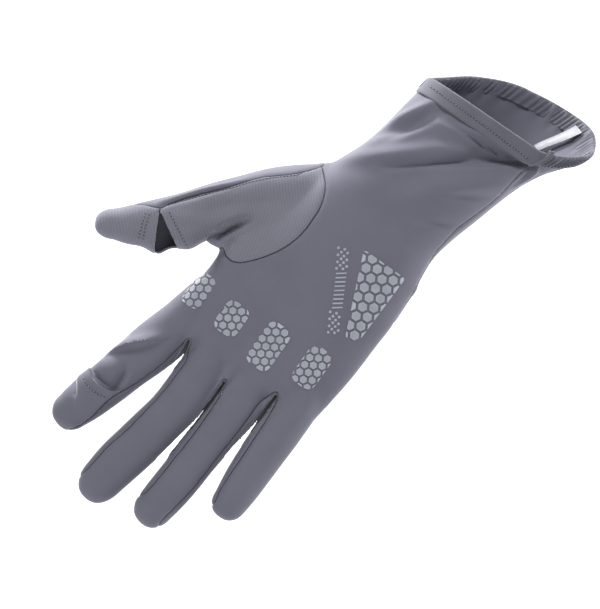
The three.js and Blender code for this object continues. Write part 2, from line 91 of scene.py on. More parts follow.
# The fingers, the thumb and the cloth between them: how far the round tip reaches past the last
# row, and the axis with half the width and half the depth at each place.
AXIS = "x z half depth"
FINGERS = {
    "index": (7.8, table(
        AXIS, (-60.5, -130, 9, 9), (-64.2, -146, 9.5, 9.8), (-67.2, -160, 10.6, 9.7),
        (-71.4, -175, 9.8, 9.2), (-74.5, -186, 9.5, 8.8), (-77.6, -196, 9.1, 8),
        (-80.1, -204, 7.9, 7),
    )),
    "middle": (11.6, table(
        AXIS, (-45.6, -130, 8.8, 9), (-45.3, -148, 9.5, 9.9), (-45, -165, 10.3, 9.7),
        (-46, -180, 9.8, 9.4), (-47.8, -190, 10, 9.2), (-49.8, -200, 10.1, 9),
        (-51.9, -210, 9.9, 8.6), (-53.3, -219, 9.1, 8),
    )),
    "ring": (9, table(
        AXIS, (-25.6, -130, 8.6, 8.8), (-25, -148, 9.6, 9.7), (-24.7, -163, 10.1, 9.4),
        (-25.8, -180, 9.4, 9), (-26.7, -190, 9.3, 8.8), (-27.2, -200, 9.2, 8.5),
        (-28.1, -210, 8.8, 8.1), (-28.8, -217, 8.3, 7.6),
    )),
    "little": (7.2, table(
        AXIS, (-5.4, -130, 8.6, 8.6), (-4.5, -148, 9.5, 9.2), (-4.4, -160, 9.5, 8.9),
        (-4.6, -170, 9.3, 8.6), (-4.6, -180, 9.1, 8.2), (-4.4, -190, 8.4, 7.6),
        (-4.3, -198, 7.5, 6.9),
    )),
    "thumb": (8.5, table(
        AXIS, (-44, -68, 13, 12), (-57, -76.5, 12, 12.5), (-68, -85.5, 10.4, 11.2),
        (-78.5, -97.5, 9.8, 10.4), (-87.6, -110.4, 10.3, 10), (-95.5, -118.8, 9.8, 9.4),
        (-103.2, -125.5, 8.6, 8.4), (-109.7, -129.6, 6.5, 7),
    )),
    "index crotch": (1.5, table(
        AXIS, (-56.8, -144, 4.5, 9.6), (-56.6, -151, 3.6, 9.2), (-56.1, -157, 2, 5),
    )),
    "middle crotch": (1.5, table(
        AXIS, (-35.2, -142, 4.5, 9.2), (-35.1, -152, 3.8, 9.5), (-35, -163, 2.6, 7),
        (-35.3, -175, 2.1, 5), (-36.4, -184, 1.5, 4),
    )),
    "ring crotch": (1.5, table(
        AXIS, (-14, -141, 4.5, 9), (-14, -149, 3.6, 8.8), (-14.3, -158, 2.4, 6.5),
        (-14.9, -170, 1.8, 4.5),
    )),
    "web": (7.1, table(
        AXIS, (-52, -84, 13, 13), (-60, -90, 12, 12), (-66.5, -97, 9.5, 10.5),
        (-69.8, -106, 6.2, 9),
    )),
}
PALM_ROUNDNESS = 2.4
FINGER_ROUNDNESS = 2.15
TIP_SHARE = 0.18
TIP_FULLNESS = 0.85

# Folds of the cloth on the palm side: the curve of each in front view, how wide it is on the left
# and on the right of that curve, and its height, which is negative for a valley.
FOLDS = [
    ([(-30, -12), (-35, -23), (-43, -35)], 1.8, 2.6, 2.3),
    ([(-25, -13), (-33, -30), (-39, -38)], 2.2, 3.0, -2.0),
    ([(-27, -23), (-36, -35), (-47, -45)], 2.6, 2.4, 1.7),
    ([(-8, -21), (-23, -36), (-47, -52)], 3.2, 4.5, 3.2),
    ([(18.5, -11), (0, -18), (-32, -46)], 1.8, 4.5, -3.6),
    ([(19, -11.5), (9, -15), (-6, -22)], 0.9, 2.4, -1.5),
    ([(16, -20), (2, -31), (-20, -54)], 4.5, 5, 2.0),
    ([(11, -32), (4, -36), (-8, -43)], 1.0, 3.2, -0.9),
    ([(4, -14), (-8, -20), (-22, -25)], 2, 3, -1.2),
    ([(8, -48.5), (3, -52), (-8, -57)], 0.9, 2.8, -0.9),
    ([(-2, -10), (-14, -17), (-27, -19)], 2.6, 2.6, 1.2),
    ([(23, -9.5), (-2, -16.4), (-23, -16)], 0.9, 1.6, -1.7),
    ([(17, -13), (9, -17.5), (1, -24)], 0.8, 1.2, 0.9),
    ([(21.5, -9), (21, -14), (18, -21)], 0.7, 0.7, 1.3),
    ([(19.5, -11), (18.8, -15), (16, -22)], 0.6, 0.6, -0.8),
    ([(-66, -157), (-74, -165), (-81.5, -177)], 0.55, 3.0, 2.7),
    ([(-84, -183), (-77, -178), (-71, -182)], 5, 4, 1.6),
    ([(-71.6, -176), (-69.8, -182), (-70.6, -187)], 1.3, 1.8, -2.4),
    ([(-86.5, -182), (-79, -190), (-67, -184)], 1.0, 1.0, -0.9),
    ([(-66.5, -97), (-72.5, -107), (-79.5, -122)], 2.4, 1.1, -5.2),
    ([(-67, -90), (-74, -101), (-80, -114)], 3.5, 3.5, 2.3),
    ([(-62, -84), (-72, -93), (-83, -104)], 4, 2, -0.7),
    ([(-100, -112), (-90, -99), (-76, -83)], 0.9, 0.9, 0.8),
    ([(-98, -112.6), (-90, -101.6), (-80, -90)], 0.7, 0.7, -0.9),
    ([(-92, -115), (-84, -108), (-76, -104)], 2.4, 2.4, 0.8),
]
HOOD_FOLDS = [
    ([(-90, -189), (-85.5, -193), (-81.5, -199)], 1.1, 2, -1.9),
    ([(-88, -185), (-84, -190), (-80, -195)], 2, 2, 0.8),
    ([(-68, -187), (-72, -194), (-74, -203)], 2, 2, 0.6),
    ([(-84, -200), (-80, -203), (-75, -203)], 3, 3, -0.5),
    ([(-88, -181), (-79, -189.5), (-66, -184)], 0.8, 0.8, 0.5),
    ([(-86, -188), (-78, -193.4), (-69, -189.5)], 0.7, 0.7, -0.35),
]
BEND_STEPS = 20
FOLD_HEIGHT = 1.2
FOLD_ENDS = 0.3
FOLD_FACING = (0.1, 0.7)

# The hang of the cloth: small even undulations, and the pleats under the gathered band.
UNDULATION = {"size": 17, "height": 0.35, "below": (4, 12)}
PLEATS = {
    "count": 34, "count_below": (20, 6), "broad": 9, "broad_height": 0.8, "height": 0.48,
    "fade": (-34, -4), "under_band": (1, 6), "turned": 0.35, "band": (-0.6, -0.1),
}

# Where the back's cloth shows beside the palm's and the thumb's in front view, drawn out past the
# glove's edge. Elsewhere the seam between them runs behind the edge.
BACK_SHOWS = [
    [(20.4, 6), (20.2, -4), (17.3, -12), (15.6, -20), (14.6, -28), (12.8, -35), (10.2, -43),
     (8, -50), (7, -57), (6.5, -63), (6.9, -68), (7.7, -76), (8.6, -84), (9.15, -91), (9.6, -98),
     (16, -98), (30, -40), (60, -5), (60, 30)],
    [(-76.5, -211), (-73.5, -206.5), (-71.4, -200), (-70.3, -193), (-68.8, -188), (-66.3, -183),
     (-63, -175), (-59.9, -165), (-58.7, -157), (-58.3, -153), (-57.8, -151.3), (-57, -150.7),
     (-56.1, -151.3), (-54.6, -156), (-53.3, -160), (-53.7, -175), (-55, -185), (-57, -197),
     (-59.4, -207), (-60.6, -217), (-61.8, -223.5), (-64, -226), (-74, -216)],
    [(-36.1, -158.6), (-35.8, -156.9), (-35.1, -156.2), (-34.4, -156.7), (-33.7, -159),
     (-33, -164), (-33, -180), (-33.9, -195), (-34.7, -208), (-36, -215), (-39, -217), (-38, -195),
     (-35.6, -180), (-35.3, -170)],
    [(-16.2, -151), (-15.3, -149.1), (-14.4, -148.5), (-13.4, -149.1), (-12.6, -151),
     (-11.8, -156), (-11.2, -175), (-11, -190), (-10.4, -197), (-9.6, -202), (-12, -206),
     (-20, -224), (-23, -221), (-21.6, -212), (-19.8, -200), (-19, -185), (-18, -170),
     (-17.8, -156)],
    [(-53, -57), (-54, -61), (-60, -68.6), (-70, -77.4), (-75, -83), (-81, -91), (-91, -103),
     (-96, -110), (-98, -113.4), (-104, -115.8), (-110, -119.6), (-115, -124.6), (-121, -130),
     (-130, -120), (-95, -85), (-65, -55)],
]
BEHIND = 1.5
# Outlines are read in front of PALM_SIDE, and no point counts as farther from one than FAR.
PALM_SIDE = 2
FAR = 9

# The slits between the fingers: the curve of each in front view, half its width and its depth.
# Their walls are pushed in from both sides, stop short of each other, and are evened out.
CROTCHES = [
    ([(-57, -152.2), (-56.2, -156), (-56.2, -162)], 1.0, 9),
    ([(-34.9, -158), (-34.5, -178), (-38.2, -198)], 0.85, 9),
    ([(-13.9, -150.3), (-14.2, -160), (-15, -177)], 0.95, 9),
]
SLIT_WALLS = (1.35, 0.35)
SLIT_HELD = 0.9
SLIT_BEHIND = 0.7
SLIT_NEAR = 2.2
SLIT_SOFT = (2.2, 1.4)
# The sharp upper ends of the gaps between the fingers.
GAPS = [
    [(-55.6, -157.6), (-56.2, -160.5), (-57.2, -164), (-57.8, -167), (-55.7, -167), (-55.4, -161)],
    [(-35.4, -174), (-35.8, -178), (-36.6, -182), (-37.4, -186), (-38.1, -190), (-38.8, -194),
     (-39.5, -198), (-39.9, -200.5), (-36.8, -200.5), (-36.7, -198), (-36.5, -194), (-36.3, -190),
     (-36, -186), (-35.8, -182), (-35.4, -178)],
    [(-14.4, -163.2), (-14.65, -166), (-15.2, -170), (-15.9, -174), (-16.6, -178), (-17, -183),
     (-14.2, -183), (-13.9, -174), (-14, -170), (-14.15, -166)],
]
# Where the cloth stands off: the middle of each place, how far round it, and how much.
BULGES = [
    ((-80.5, -118.5), 6.5, 3.2), ((-88.2, -129.6), 4.6, 5.4), ((-74.6, -113), 3, 1.6),
    ((-53.5, -57.2), 3, 0.8), ((8.8, -80.5), 2.6, 0.6),
]
SEAM_DIP = {"depth": 0.42, "half": 0.75, "gap": 0.1, "slit": (1.6, 3.2)}
GUSSET = [
    (-56, -57.5), (-52, -61.5), (-47, -67), (-44.2, -74), (-43.6, -82), (-44.2, -90),
    (-46.6, -97.5), (-51, -105), (-56, -111), (-60, -114), (-64, -114.2), (-67.5, -112),
]
THUMB_SIDE = [(-75, -121), (-90, -150), (-140, -150), (-140, -50)]
SLIT = [(-97.6, -114), (-79, -125.2), (-80, -136), (-88.2, -132.3)]
CAP_SIDE = [(-97.6, -114), (-88.2, -132.3), (-84, -150), (-140, -150), (-140, -90), (-103, -100)]
HOOD_HEM = [
    (-92, -181), (-88, -182.6), (-84.7, -184.6), (-82, -186.6), (-79, -187.9), (-75, -188.2),
    (-71, -187.2), (-68, -185.6), (-64, -183.4), (-60, -181),
]
HOOD_SIDE = [(-50, -230), (-105, -230)]
UNDER_HOOD = [(-95, -197), (-66.5, -197), (-66, -225), (-95, -225)]
# How far the hood stands off the finger, all round and more on its front above the tip, and the
# share of the cloth's thickness that it has.
HOOD_RISE = {"height": 1.2, "round": 0.2, "front": (0, -5), "above_tip": (-212, -198)}
HOOD_THICKNESS = 0.9

# The form that the cloth is cut from: sides and rings of each tube, how far it runs on past the
# cuff, and where the fingers and the thumb are blended into the palm.
BODY_MESH = (128, 110)
FINGER_MESH = (56, 70)
HOOD_MESH = (96, 150)
PAST_RIM = 12
CUFF_END = -20
KNUCKLES = {"level": -149, "near": (14, 4), "left": -85, "slit": (1, 4)}
THUMB_ROOT = {
    "along": 20, "length": (30, 18), "beside": 6, "width": (36, 26), "top": (-38, -46),
    "share": 0.8,
}

# The bends of the whole glove: the fingers' curl, the thumb's reach and the palm's hollow.
CURL = {"start": -138, "length": 93, "depth": 9, "power": 1.7}
REACH = {
    "root": (-50, -70), "along": (-0.733, -0.68), "start": 14, "end": 80, "depth": 17,
    "web": (14, 27),
}
HOLLOW = {"middle": -30, "rate": 0.0011, "start": -60, "end": -110, "ball": 30}

# Grip prints in front view: the outline, how far its corners are rounded, the middle of one cell,
# and the pitch and radius of the cells.
FINGER_CELLS = {"column": 3.16, "row": 3.65, "radius": 1.62}
HEEL_CELLS = {"column": 4.05, "row": 4.65, "radius": 2.08}
SMALLEST_CELL = 0.35
# Cells cut to less than this share of a whole cell get a painted highlight.
WHOLE_CELL = 0.55
# Width of the rim, in shares of a cell's radius, round the painted shade in the middle of each
# whole cell.
CELL_RIM = 0.24
PRINT_SUNK = 0.06


def upright(left, right, bottom, top):
    return [(left, bottom), (right, bottom), (right, top), (left, top)]


PRINTS = {
    "grip_pad_index": (upright(-71.8, -60.8, -140, -124.6), 3.6, (-65.7, -131.4), FINGER_CELLS),
    "grip_pad_middle": (upright(-53, -42, -141.2, -126.9), 4, (-49, -134.7), FINGER_CELLS),
    "grip_pad_ring": (upright(-33.9, -22.7, -145, -124.3), 4, (-29.2, -135.3), FINGER_CELLS),
    "grip_pad_little": (upright(-13.9, -3, -140.5, -122.4), 4, (-8.5, -130.4), FINGER_CELLS),
    "grip_pad_heel": (
        [(-19, -79), (-4.4, -113.4), (1.2, -112.6), (2, -79)], 1.6, (-9.8, -91.8), HEEL_CELLS,
    ),
}
CHECK_DOTS = [
    (-28, -84.5), (-25.5, -83.5), (-23.7, -84.1), (-26, -85.3), (-24.2, -86), (-22.3, -86.6),
    (-26.5, -87), (-24.5, -87.6), (-22.8, -88.3), (-20.8, -88.9), (-25, -89.5), (-23.3, -90),
    (-21.5, -90.6), (-23.8, -91.9),
]
CHECK_SHIFT = (12.4, -23.7)
DOT_RADIUS = 0.62
CHECK_HEIGHT = 0.8
BARS = {
    "count": 9, "first": (-22.9, -93.5), "step": (0.85, -1.575),
    "corners": [(0.3, -0.55), (3.8, 2.05), (3.5, 2.6), (0, 0)],
}

# The cuff's bands: the turn of each round the cuff in degrees, their gathers and the label's tape.
HEM_TURN = (176, 303)
TAB_TURN = (299.8, 303.4)
BAND_TURN = (-58, 177)
BAND_THICKNESS = 0.5
GATHERS = {"radius": 30, "pitch": 2.1, "height": 0.4, "width": 7.2, "inside": 0.6}
BODY_STEP = 4
TAPE = {
    "turn": (32, 12), "place": (0.7, 2.4), "lean": (2.4, 1.5, 0.4), "thickness": 0.35,
    "mesh": (24, 30),
}

# The stitches: their pitch, and in shares of it the lengths of a thread and of the hole between
# two, then the thickness of both and how high they lie. Each hole is a dark bead of painted shade.
STITCH = {
    "pitch": 1.45, "thread": 0.55, "hole": 0.42, "thick": 0.2, "hole_wider": 0.25,
    "lift": 0.06, "sunk": 0.08,
}

# The photograph's view, in millimetres a pixel, and the lamps: place, size and share of power.
VIEW = {"scale": 0.42, "long_side": 609, "middle": (-27.6, 0, -112.9)}
LAMPS = [
    ("key", (-0.65, -0.55, 0.8), 0.35, 1),
    ("fill", (0.35, -1.0, -0.45), 0.8, 0.34),
    ("left rim", (-0.9, 0.3, 0.45), 0.5, 2.4),
    ("right rim", (0.8, 0.15, 0.3), 0.5, 0.8),
]
GROUND_SIZE = 7

# Rays that look for the cloth start here, in front of the glove.
AHEAD = -80


# Shapes

def smooth(start, end, value):
    t = np.clip((value - start) / (end - start), 0, 1)
    return t * t * (3 - 2 * t)


def column(rows, key, place):
    """A column of a table at places between its rows, on a Catmull-Rom curve."""
    last = len(rows) - 1
    i = np.clip(np.floor(place), 0, last - 1).astype(int)
    t = np.clip(place, 0, last) - i
    a, b, c, d = (rows[key][np.clip(i + k, 0, last)] for k in (-1, 0, 1, 2))
    return b + 0.5 * t * (c - a + t * (2 * a - 5 * b + 4 * c - d + t * (3 * (b - c) + d - a)))


def cuff_rise(angle):
    degrees = np.degrees(angle)
    degrees = degrees - 360 * np.round(degrees / 360)
    levels = CUFF_RISE["degrees"]
    i = np.clip(np.searchsorted(levels, degrees, side="right") - 1, 0, len(levels) - 2)
    return column(CUFF_RISE, "rise", i + (degrees - levels[i]) / (levels[i + 1] - levels[i]))


def beside_thumb(x, z):
    """How far a point lies along the thumb from its root, and how far beside its axis."""
    dx, dz = x - REACH["root"][0], z - REACH["root"][1]
    ax, az = REACH["along"]
    return dx * ax + dz * az, dz * ax - dx * az


def pose_depth(x, z):
    """The depth that the curl, the thumb's reach and the hollow of the palm add."""
    curl = CURL["depth"] * np.maximum(0, (CURL["start"] - z) / CURL["length"]) ** CURL["power"]
    along, beside = beside_thumb(x, z)
    thumb = smooth(REACH["web"][1], REACH["web"][0], beside)
    reach = REACH["depth"] * smooth(REACH["start"], REACH["end"], along) * thumb
    ball = smooth(0, HOLLOW["ball"], along) * thumb
    hollow = smooth(HOLLOW["start"], HOLLOW["end"], z) * (1 - ball)
    return -curl - reach - hollow * HOLLOW["rate"] * (x - HOLLOW["middle"]) ** 2


def rounded(angle, roundness):
    return [np.sign(v) * np.abs(v) ** (2 / roundness) for v in (np.cos(angle), np.sin(angle))]


def body_points(place, angle, grow=0.0):
    """Points round the glove's body, before it is bent to its pose."""
    across, out = rounded(angle, PALM_ROUNDNESS)
    left = column(BODY, "left", place) - grow
    right = column(BODY, "right", place) + grow
    level = column(BODY, "level", place)
    depth = np.where(out < 0, column(BODY, "palm", place), column(BODY, "back", place)) + grow
    x = (left + right) / 2 + (right - left) / 2 * across
    z = level + column(BODY, "lift", place) * cuff_rise(angle)
    return np.stack([x, depth * out, z], -1)


def finger_points(name, share, angle):
    """Points round a finger, before it is bent: share is 0 at its root and 1 at its tip."""
    tip, rows = FINGERS[name]
    last = len(rows) - 1
    place = np.clip(share / (1 - TIP_SHARE), 0, 1) * last
    turn = np.radians(89) * np.clip((share - 1 + TIP_SHARE) / TIP_SHARE, 0, 1)
    ahead = [column(rows, key, place + 0.1) - column(rows, key, place - 0.1) for key in "xz"]
    length = np.hypot(*ahead)
    ax, az = ahead[0] / length, ahead[1] / length
    reach = tip * np.sin(turn)
    narrow = np.cos(turn) ** TIP_FULLNESS
    across, out = rounded(angle, FINGER_ROUNDNESS)
    half = column(rows, "half", place) * narrow * across
    x = column(rows, "x", place) + ax * reach - az * half
    z = column(rows, "z", place) + az * reach + ax * half
    return np.stack([x, column(rows, "depth", place) * narrow * out, z], -1)


def bent(points):
    """A smooth curve past three points."""
    a, b, c = (np.array(p, float) for p in points)
    t = np.linspace(0, 1, BEND_STEPS)[:, None]
    return (1 - t) ** 2 * a + 2 * t * (1 - t) * b + t * t * c


def splined(points, steps=6):
    """A smooth curve through all of its points."""
    rows = table("x z", *points)
    place = np.linspace(0, len(rows) - 1, steps * (len(rows) - 1) + 1)
    return np.stack([column(rows, "x", place), column(rows, "z", place)], -1)


def beside_curve(curve, x, z):
    """How far points lie from a curve in front view, over 0 on its left, and their share of it."""
    start, step = curve[:-1], np.diff(curve, axis=0)
    off = np.stack([x, z], -1)[:, None] - start
    t = np.clip((off * step).sum(-1) / (step**2).sum(-1), 0, 1)
    off -= t[..., None] * step
    far = np.hypot(off[..., 0], off[..., 1])
    k = far.argmin(1)
    row = np.arange(len(k))
    turn = step[k, 0] * off[row, k, 1] - step[k, 1] * off[row, k, 0]
    return np.where(turn < 0, -1, 1) * far[row, k], (k + t[row, k]) / len(step)


def from_slits(x, z):
    """How far points lie from the nearest slit between the fingers, in front view."""
    return np.min([np.abs(beside_curve(bent(path), x, z)[0]) for path, _, _ in CROTCHES], axis=0)


def outside(outline, x, z):
    """The distance of points from an outline in front view, under 0 inside it and FAR at most."""
    corners = np.array([*outline, outline[0]], float)
    (left, low), (right, high) = corners.min(0) - 3, corners.max(0) + 3
    near = np.flatnonzero((x > left) & (x < right) & (z > low) & (z < high))
    made = np.full(len(x), float(FAR))
    if len(near) == 0:
        return made
    x, z = x[near], z[near]
    far = np.abs(beside_curve(corners, x, z)[0])
    inside = np.zeros(len(x), bool)
    for (ax, az), (bx, bz) in zip(corners[:-1], corners[1:]):
        if az != bz:
            inside ^= ((az > z) != (bz > z)) & (x < ax + (bx - ax) * (z - az) / (bz - az))
    made[near] = np.where(inside, -far, np.minimum(far, FAR))
    return made


def in_front(x, y, z):
    """True on the palm's side of the seam that joins it to the back."""
    front = y < BEHIND
    for outline in BACK_SHOWS:
        front &= outside(splined(outline, 3), x, z) > 0
    return front


def palm_side_field(outline):
    """A field whose zero line is an outline in front view, on the palm's side alone."""
    return lambda x, y, z: np.where(y < PALM_SIDE, outside(outline, x, z), FAR)


def seams_between_sides():
    """The fields whose zero lines are the seams between the palm's side and the back."""
    return [lambda x, y, z: y - BEHIND, *(palm_side_field(splined(o, 3)) for o in BACK_SHOWS)]


def around_cuff(x, y, z):
    """The angle of points round the cuff, as the sections count it."""
    turns = np.linspace(-math.pi, math.pi, 361)
    rim = body_points(np.zeros_like(turns), turns)
    seen = np.arctan2(rim[:, 1], rim[:, 0])
    return np.interp(np.arctan2(y, x), np.unwrap(seen), turns)


def relief(points, normals, folds=FOLDS):
    """How far folds, pleats and undulations lift the cloth at points, before it is bent."""
    x, y, z = points.T
    facing = smooth(*FOLD_FACING, -normals[:, 1])
    lifted = np.zeros(len(x))
    for (mx, mz), far, height in BULGES:
        lifted += height * np.exp(-((x - mx) ** 2 + (z - mz) ** 2) / far**2)
    for corners, left, right, height in folds:
        off, share = beside_curve(bent(corners), x, z)
        taper = FOLD_ENDS + (1 - FOLD_ENDS) * np.sin(math.pi * share)
        bell = np.exp(-((off / np.where(off > 0, left, right)) ** 2))
        lifted += FOLD_HEIGHT * height * taper * bell * facing
    angle = around_cuff(x, y, z)
    below = cuff_rise(angle) - z
    fine = np.sin(angle * PLEATS["count"]) * smooth(*PLEATS["count_below"], below)
    pleats = fine + PLEATS["broad_height"] * np.sin(angle * PLEATS["broad"])
    banded = smooth(*PLEATS["band"], np.sin(angle + PLEATS["turned"]))
    faded = smooth(*PLEATS["fade"], z) * smooth(*PLEATS["under_band"], below)
    lifted += PLEATS["height"] * pleats * banded * faded
    waves = np.array([noise.noise(Vector(p) / UNDULATION["size"]) for p in points])
    return lifted + UNDULATION["height"] * waves * smooth(*UNDULATION["below"], below)


# Mesh work

def activate(obj):
    bpy.ops.object.select_all(action="DESELECT")
    obj.select_set(True)
    bpy.context.view_layer.objects.active = obj


def vectors_of(mesh, key):
    flat = np.empty(len(mesh.vertices) * 3, np.float32)
    mesh.vertices.foreach_get(key, flat)
    return flat.reshape(-1, 3).astype(float)


def points_of(mesh):
    return vectors_of(mesh, "co") / MM


def move_points(obj, points):
    obj.data.vertices.foreach_set("co", (points * MM).astype(np.float32).ravel())
    obj.data.update()


def apply_modifier(obj, kind, **settings):
    activate(obj)
    modifier = obj.modifiers.new(kind.lower(), kind)
    for key, value in settings.items():
        setattr(modifier, key, value)
    bpy.ops.object.modifier_apply(modifier=modifier.name)


def tube(name, sides, rings, points):
    """A closed tube: points turns shares of its length and angles round it into places."""
    bpy.ops.object.select_all(action="DESELECT")
    bpy.ops.mesh.primitive_cylinder_add(vertices=sides, radius=1, depth=2, end_fill_type="TRIFAN")
    obj = bpy.context.object
    obj.name = obj.data.name = name
    bpy.ops.object.mode_set(mode="EDIT")
    bpy.ops.mesh.select_mode(type="EDGE")
    bpy.ops.mesh.select_all(action="DESELECT")
    bm = bmesh.from_edit_mesh(obj.data)
    for edge in bm.edges:
        edge.select_set(abs(edge.verts[0].co.z - edge.verts[1].co.z) > 1)
    bmesh.update_edit_mesh(obj.data)
    bpy.ops.mesh.subdivide(number_cuts=rings)
    bpy.ops.object.mode_set(mode="OBJECT")
    at = points_of(obj.data) * MM
    share, angle = (1 - at[:, 2]) / 2, np.arctan2(at[:, 1], at[:, 0])
    wall = points(share, angle)
    right, left = (points(share, np.full_like(angle, turn)) for turn in (0, math.pi))
    middle = (right + left) / 2
    full = np.hypot(at[:, 0], at[:, 1])[:, None] > 0.5
    move_points(obj, np.where(full, wall, middle))
    bpy.ops.object.mode_set(mode="EDIT")
    bpy.ops.mesh.select_all(action="SELECT")
    bpy.ops.mesh.normals_make_consistent(inside=False)
    bpy.ops.object.mode_set(mode="OBJECT")
    return obj


def strip(name, long, wide, points):
    """An open sheet: points turns the shares of the way along and across it into places."""
    bpy.ops.object.select_all(action="DESELECT")
    bpy.ops.mesh.primitive_grid_add(x_subdivisions=long, y_subdivisions=wide, size=2)
    obj = bpy.context.object
    obj.name = obj.data.name = name
    at = points_of(obj.data) * MM
    move_points(obj, points((at[:, 0] + 1) / 2, (at[:, 1] + 1) / 2))
    return obj


def join(name, objects):
    activate(objects[0])
    for obj in objects:
        obj.select_set(True)
    bpy.ops.object.join()
    objects[0].name = objects[0].data.name = name
    return objects[0]


def score(bm, values, near=0.12):
    """Cuts faces along the line where the values of the mesh's points are zero."""
    layer = bm.verts.layers.float.get("score") or bm.verts.layers.float.new("score")
    for vert, value in zip(bm.verts, np.where(np.abs(values) < near, 0, values)):
        vert[layer] = value
    for edge in [e for e in bm.edges if e.verts[0][layer] * e.verts[1][layer] < 0]:
        start, end = edge.verts
        cut = bmesh.utils.edge_split(edge, start, start[layer] / (start[layer] - end[layer]))[1]
        cut[layer] = 0
    for face in list(bm.faces):
        signs = [vert[layer] for vert in face.verts]
        on = [vert for vert in face.verts if vert[layer] == 0]
        if len(on) == 2 and min(signs) < 0 < max(signs):
            bmesh.utils.face_split(face, *on)


def bm_points(bm):
    return np.array([v.co for v in bm.verts]) / MM


def cut_pieces(obj, fields, label):
    """Cuts a mesh along each field's zero line and parts its faces by label, 0 for those left
    out. Returns an object for each label, whose points hold their distance from the seams."""
    bm = bmesh.new()
    bm.from_mesh(obj.data)
    for field in fields:
        score(bm, field(*bm_points(bm).T))
    middles = np.array([f.calc_center_median() for f in bm.faces]) / MM
    labels = label(*middles.T)
    layer = bm.faces.layers.int.new("piece")
    for face, number in zip(bm.faces, labels):
        face[layer] = int(number)
    seam = [v for v in bm.verts if len({f[layer] for f in v.link_faces} - {0}) > 1]
    tree = KDTree(len(seam))
    for i, vert in enumerate(seam):
        tree.insert(vert.co, i)
    tree.balance()
    far = bm.verts.layers.float.new("seam")
    normals = [v.normal.copy() for v in bm.verts]
    x, _, z = bm_points(bm).T
    depths = SEAM_DIP["depth"] * smooth(*SEAM_DIP["slit"], from_slits(x, z))
    for vert, normal, depth in zip(bm.verts, normals, depths):
        vert[far] = tree.find(vert.co)[2] / MM
        dip = depth * math.exp(-((vert[far] / SEAM_DIP["half"]) ** 2))
        vert.co -= normal * dip * MM
    bm.verts.layers.float.remove(bm.verts.layers.float["score"])
    made = {}
    for number in sorted(set(labels) - {0}):
        part = bm.copy()
        piece = part.faces.layers.int["piece"]
        rest = [f for f in part.faces if f[piece] != number]
        bmesh.ops.delete(part, geom=rest, context="FACES")
        inset_border(part, SEAM_DIP["gap"])
        mesh = bpy.data.meshes.new(f"piece_{number}")
        part.to_mesh(mesh)
        part.free()
        made[int(number)] = bpy.data.objects.new(mesh.name, mesh)
        bpy.context.collection.objects.link(made[int(number)])
    bm.free()
    bpy.data.objects.remove(obj)
    return made


def inset_border(bm, gap):
    """Draws an open mesh's border back, so that sewn pieces leave a fine line between them."""
    moves = {}
    for edge in bm.edges:
        if len(edge.link_faces) == 1:
            face = edge.link_faces[0]
            inward = face.calc_center_median() - (edge.verts[0].co + edge.verts[1].co) / 2
            for vert in edge.verts:
                moves.setdefault(vert, Vector())
                moves[vert] += inward.normalized()
    for vert, move in moves.items():
        if move.length > 0:
            vert.co += move.normalized() * gap * MM


def largest_only(obj):
    """Leaves out the crumbs that a cut leaves beside a piece."""
    bm = bmesh.new()
    bm.from_mesh(obj.data)
    left, groups = set(bm.verts), []
    while left:
        group, queue = set(), [left.pop()]
        while queue:
            vert = queue.pop()
            group.add(vert)
            for edge in vert.link_edges:
                other = edge.other_vert(vert)
                if other in left:
                    left.discard(other)
                    queue.append(other)
        groups.append(group)
    keep = max(groups, key=len)
    bmesh.ops.delete(bm, geom=[v for v in bm.verts if v not in keep], context="VERTS")
    bm.to_mesh(obj.data)
    bm.free()


def weigh(obj, name, weights, least=0.0):
    """A vertex group that holds the weights of an object's points, where they pass the least."""
    group = obj.vertex_groups.new(name=name)
    for i in np.flatnonzero(weights > least):
        group.add([int(i)], float(weights[i]), "REPLACE")


def bend_to_pose(obj):
    """Curls the fingers, brings the thumb forward and hollows the palm."""
    at = points_of(obj.data)
    at[:, 1] += pose_depth(at[:, 0], at[:, 2])
    move_points(obj, at)


def finish_piece(obj, name, material, replaced=(), angle=50):
    """Names a piece, shades it, gives it its finish and sets it in the frame."""
    obj.name = obj.data.name = name
    obj.data.materials.clear()
    obj.data.materials.append(material)
    activate(obj)
    bpy.ops.object.shade_smooth_by_angle(angle=math.radians(angle), keep_sharp_edges=False)
    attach(obj, "root")
    if replaced:
        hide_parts(*replaced)
    return obj


def surface_tree(*names):
    bm = bmesh.new()
    for name in names:
        bm.from_mesh(bpy.data.objects[name].data)
    tree = BVHTree.FromBMesh(bm)
    bm.free()
    return tree


def seen_at(tree, x, z):
    """The place and the direction of the first face that a line from the front meets."""
    return tree.ray_cast(Vector((x, AHEAD, z)) * MM, Vector((0, 1, 0)))[:2]


def on_surface(tree, x, z):
    """The place and the outward direction where a line from the front meets the cloth."""
    spot, normal = seen_at(tree, x, z)
    if spot is None:
        spot, normal, _, _ = tree.find_nearest(Vector((x, 0, z)) * MM)
    return spot, normal if normal.y < 0 else -normal


def unrolled(tree, middle, z, reach=12, step=0.25):
    """Places across the cloth at one level, and how far each lies along it from a middle."""
    across, along = [0.0], [0.0]
    for way in (-1, 1):
        before, far = on_surface(tree, middle, z)[0], 0
        for k in range(1, int(reach / step)):
            spot = seen_at(tree, middle + way * k * step, z)[0]
            if spot is None:
                break
            far += (spot - before).length / MM
            before = spot
            across.append(way * k * step)
            along.append(way * far)
    order = np.argsort(across)
    return np.array(across)[order], np.array(along)[order]


def mesh_object(name, points, faces):
    mesh = bpy.data.meshes.new(name)
    mesh.from_pydata([tuple(p) for p in points], [], faces)
    obj = bpy.data.objects.new(name, mesh)
    bpy.context.collection.objects.link(obj)
    return obj


# Materials

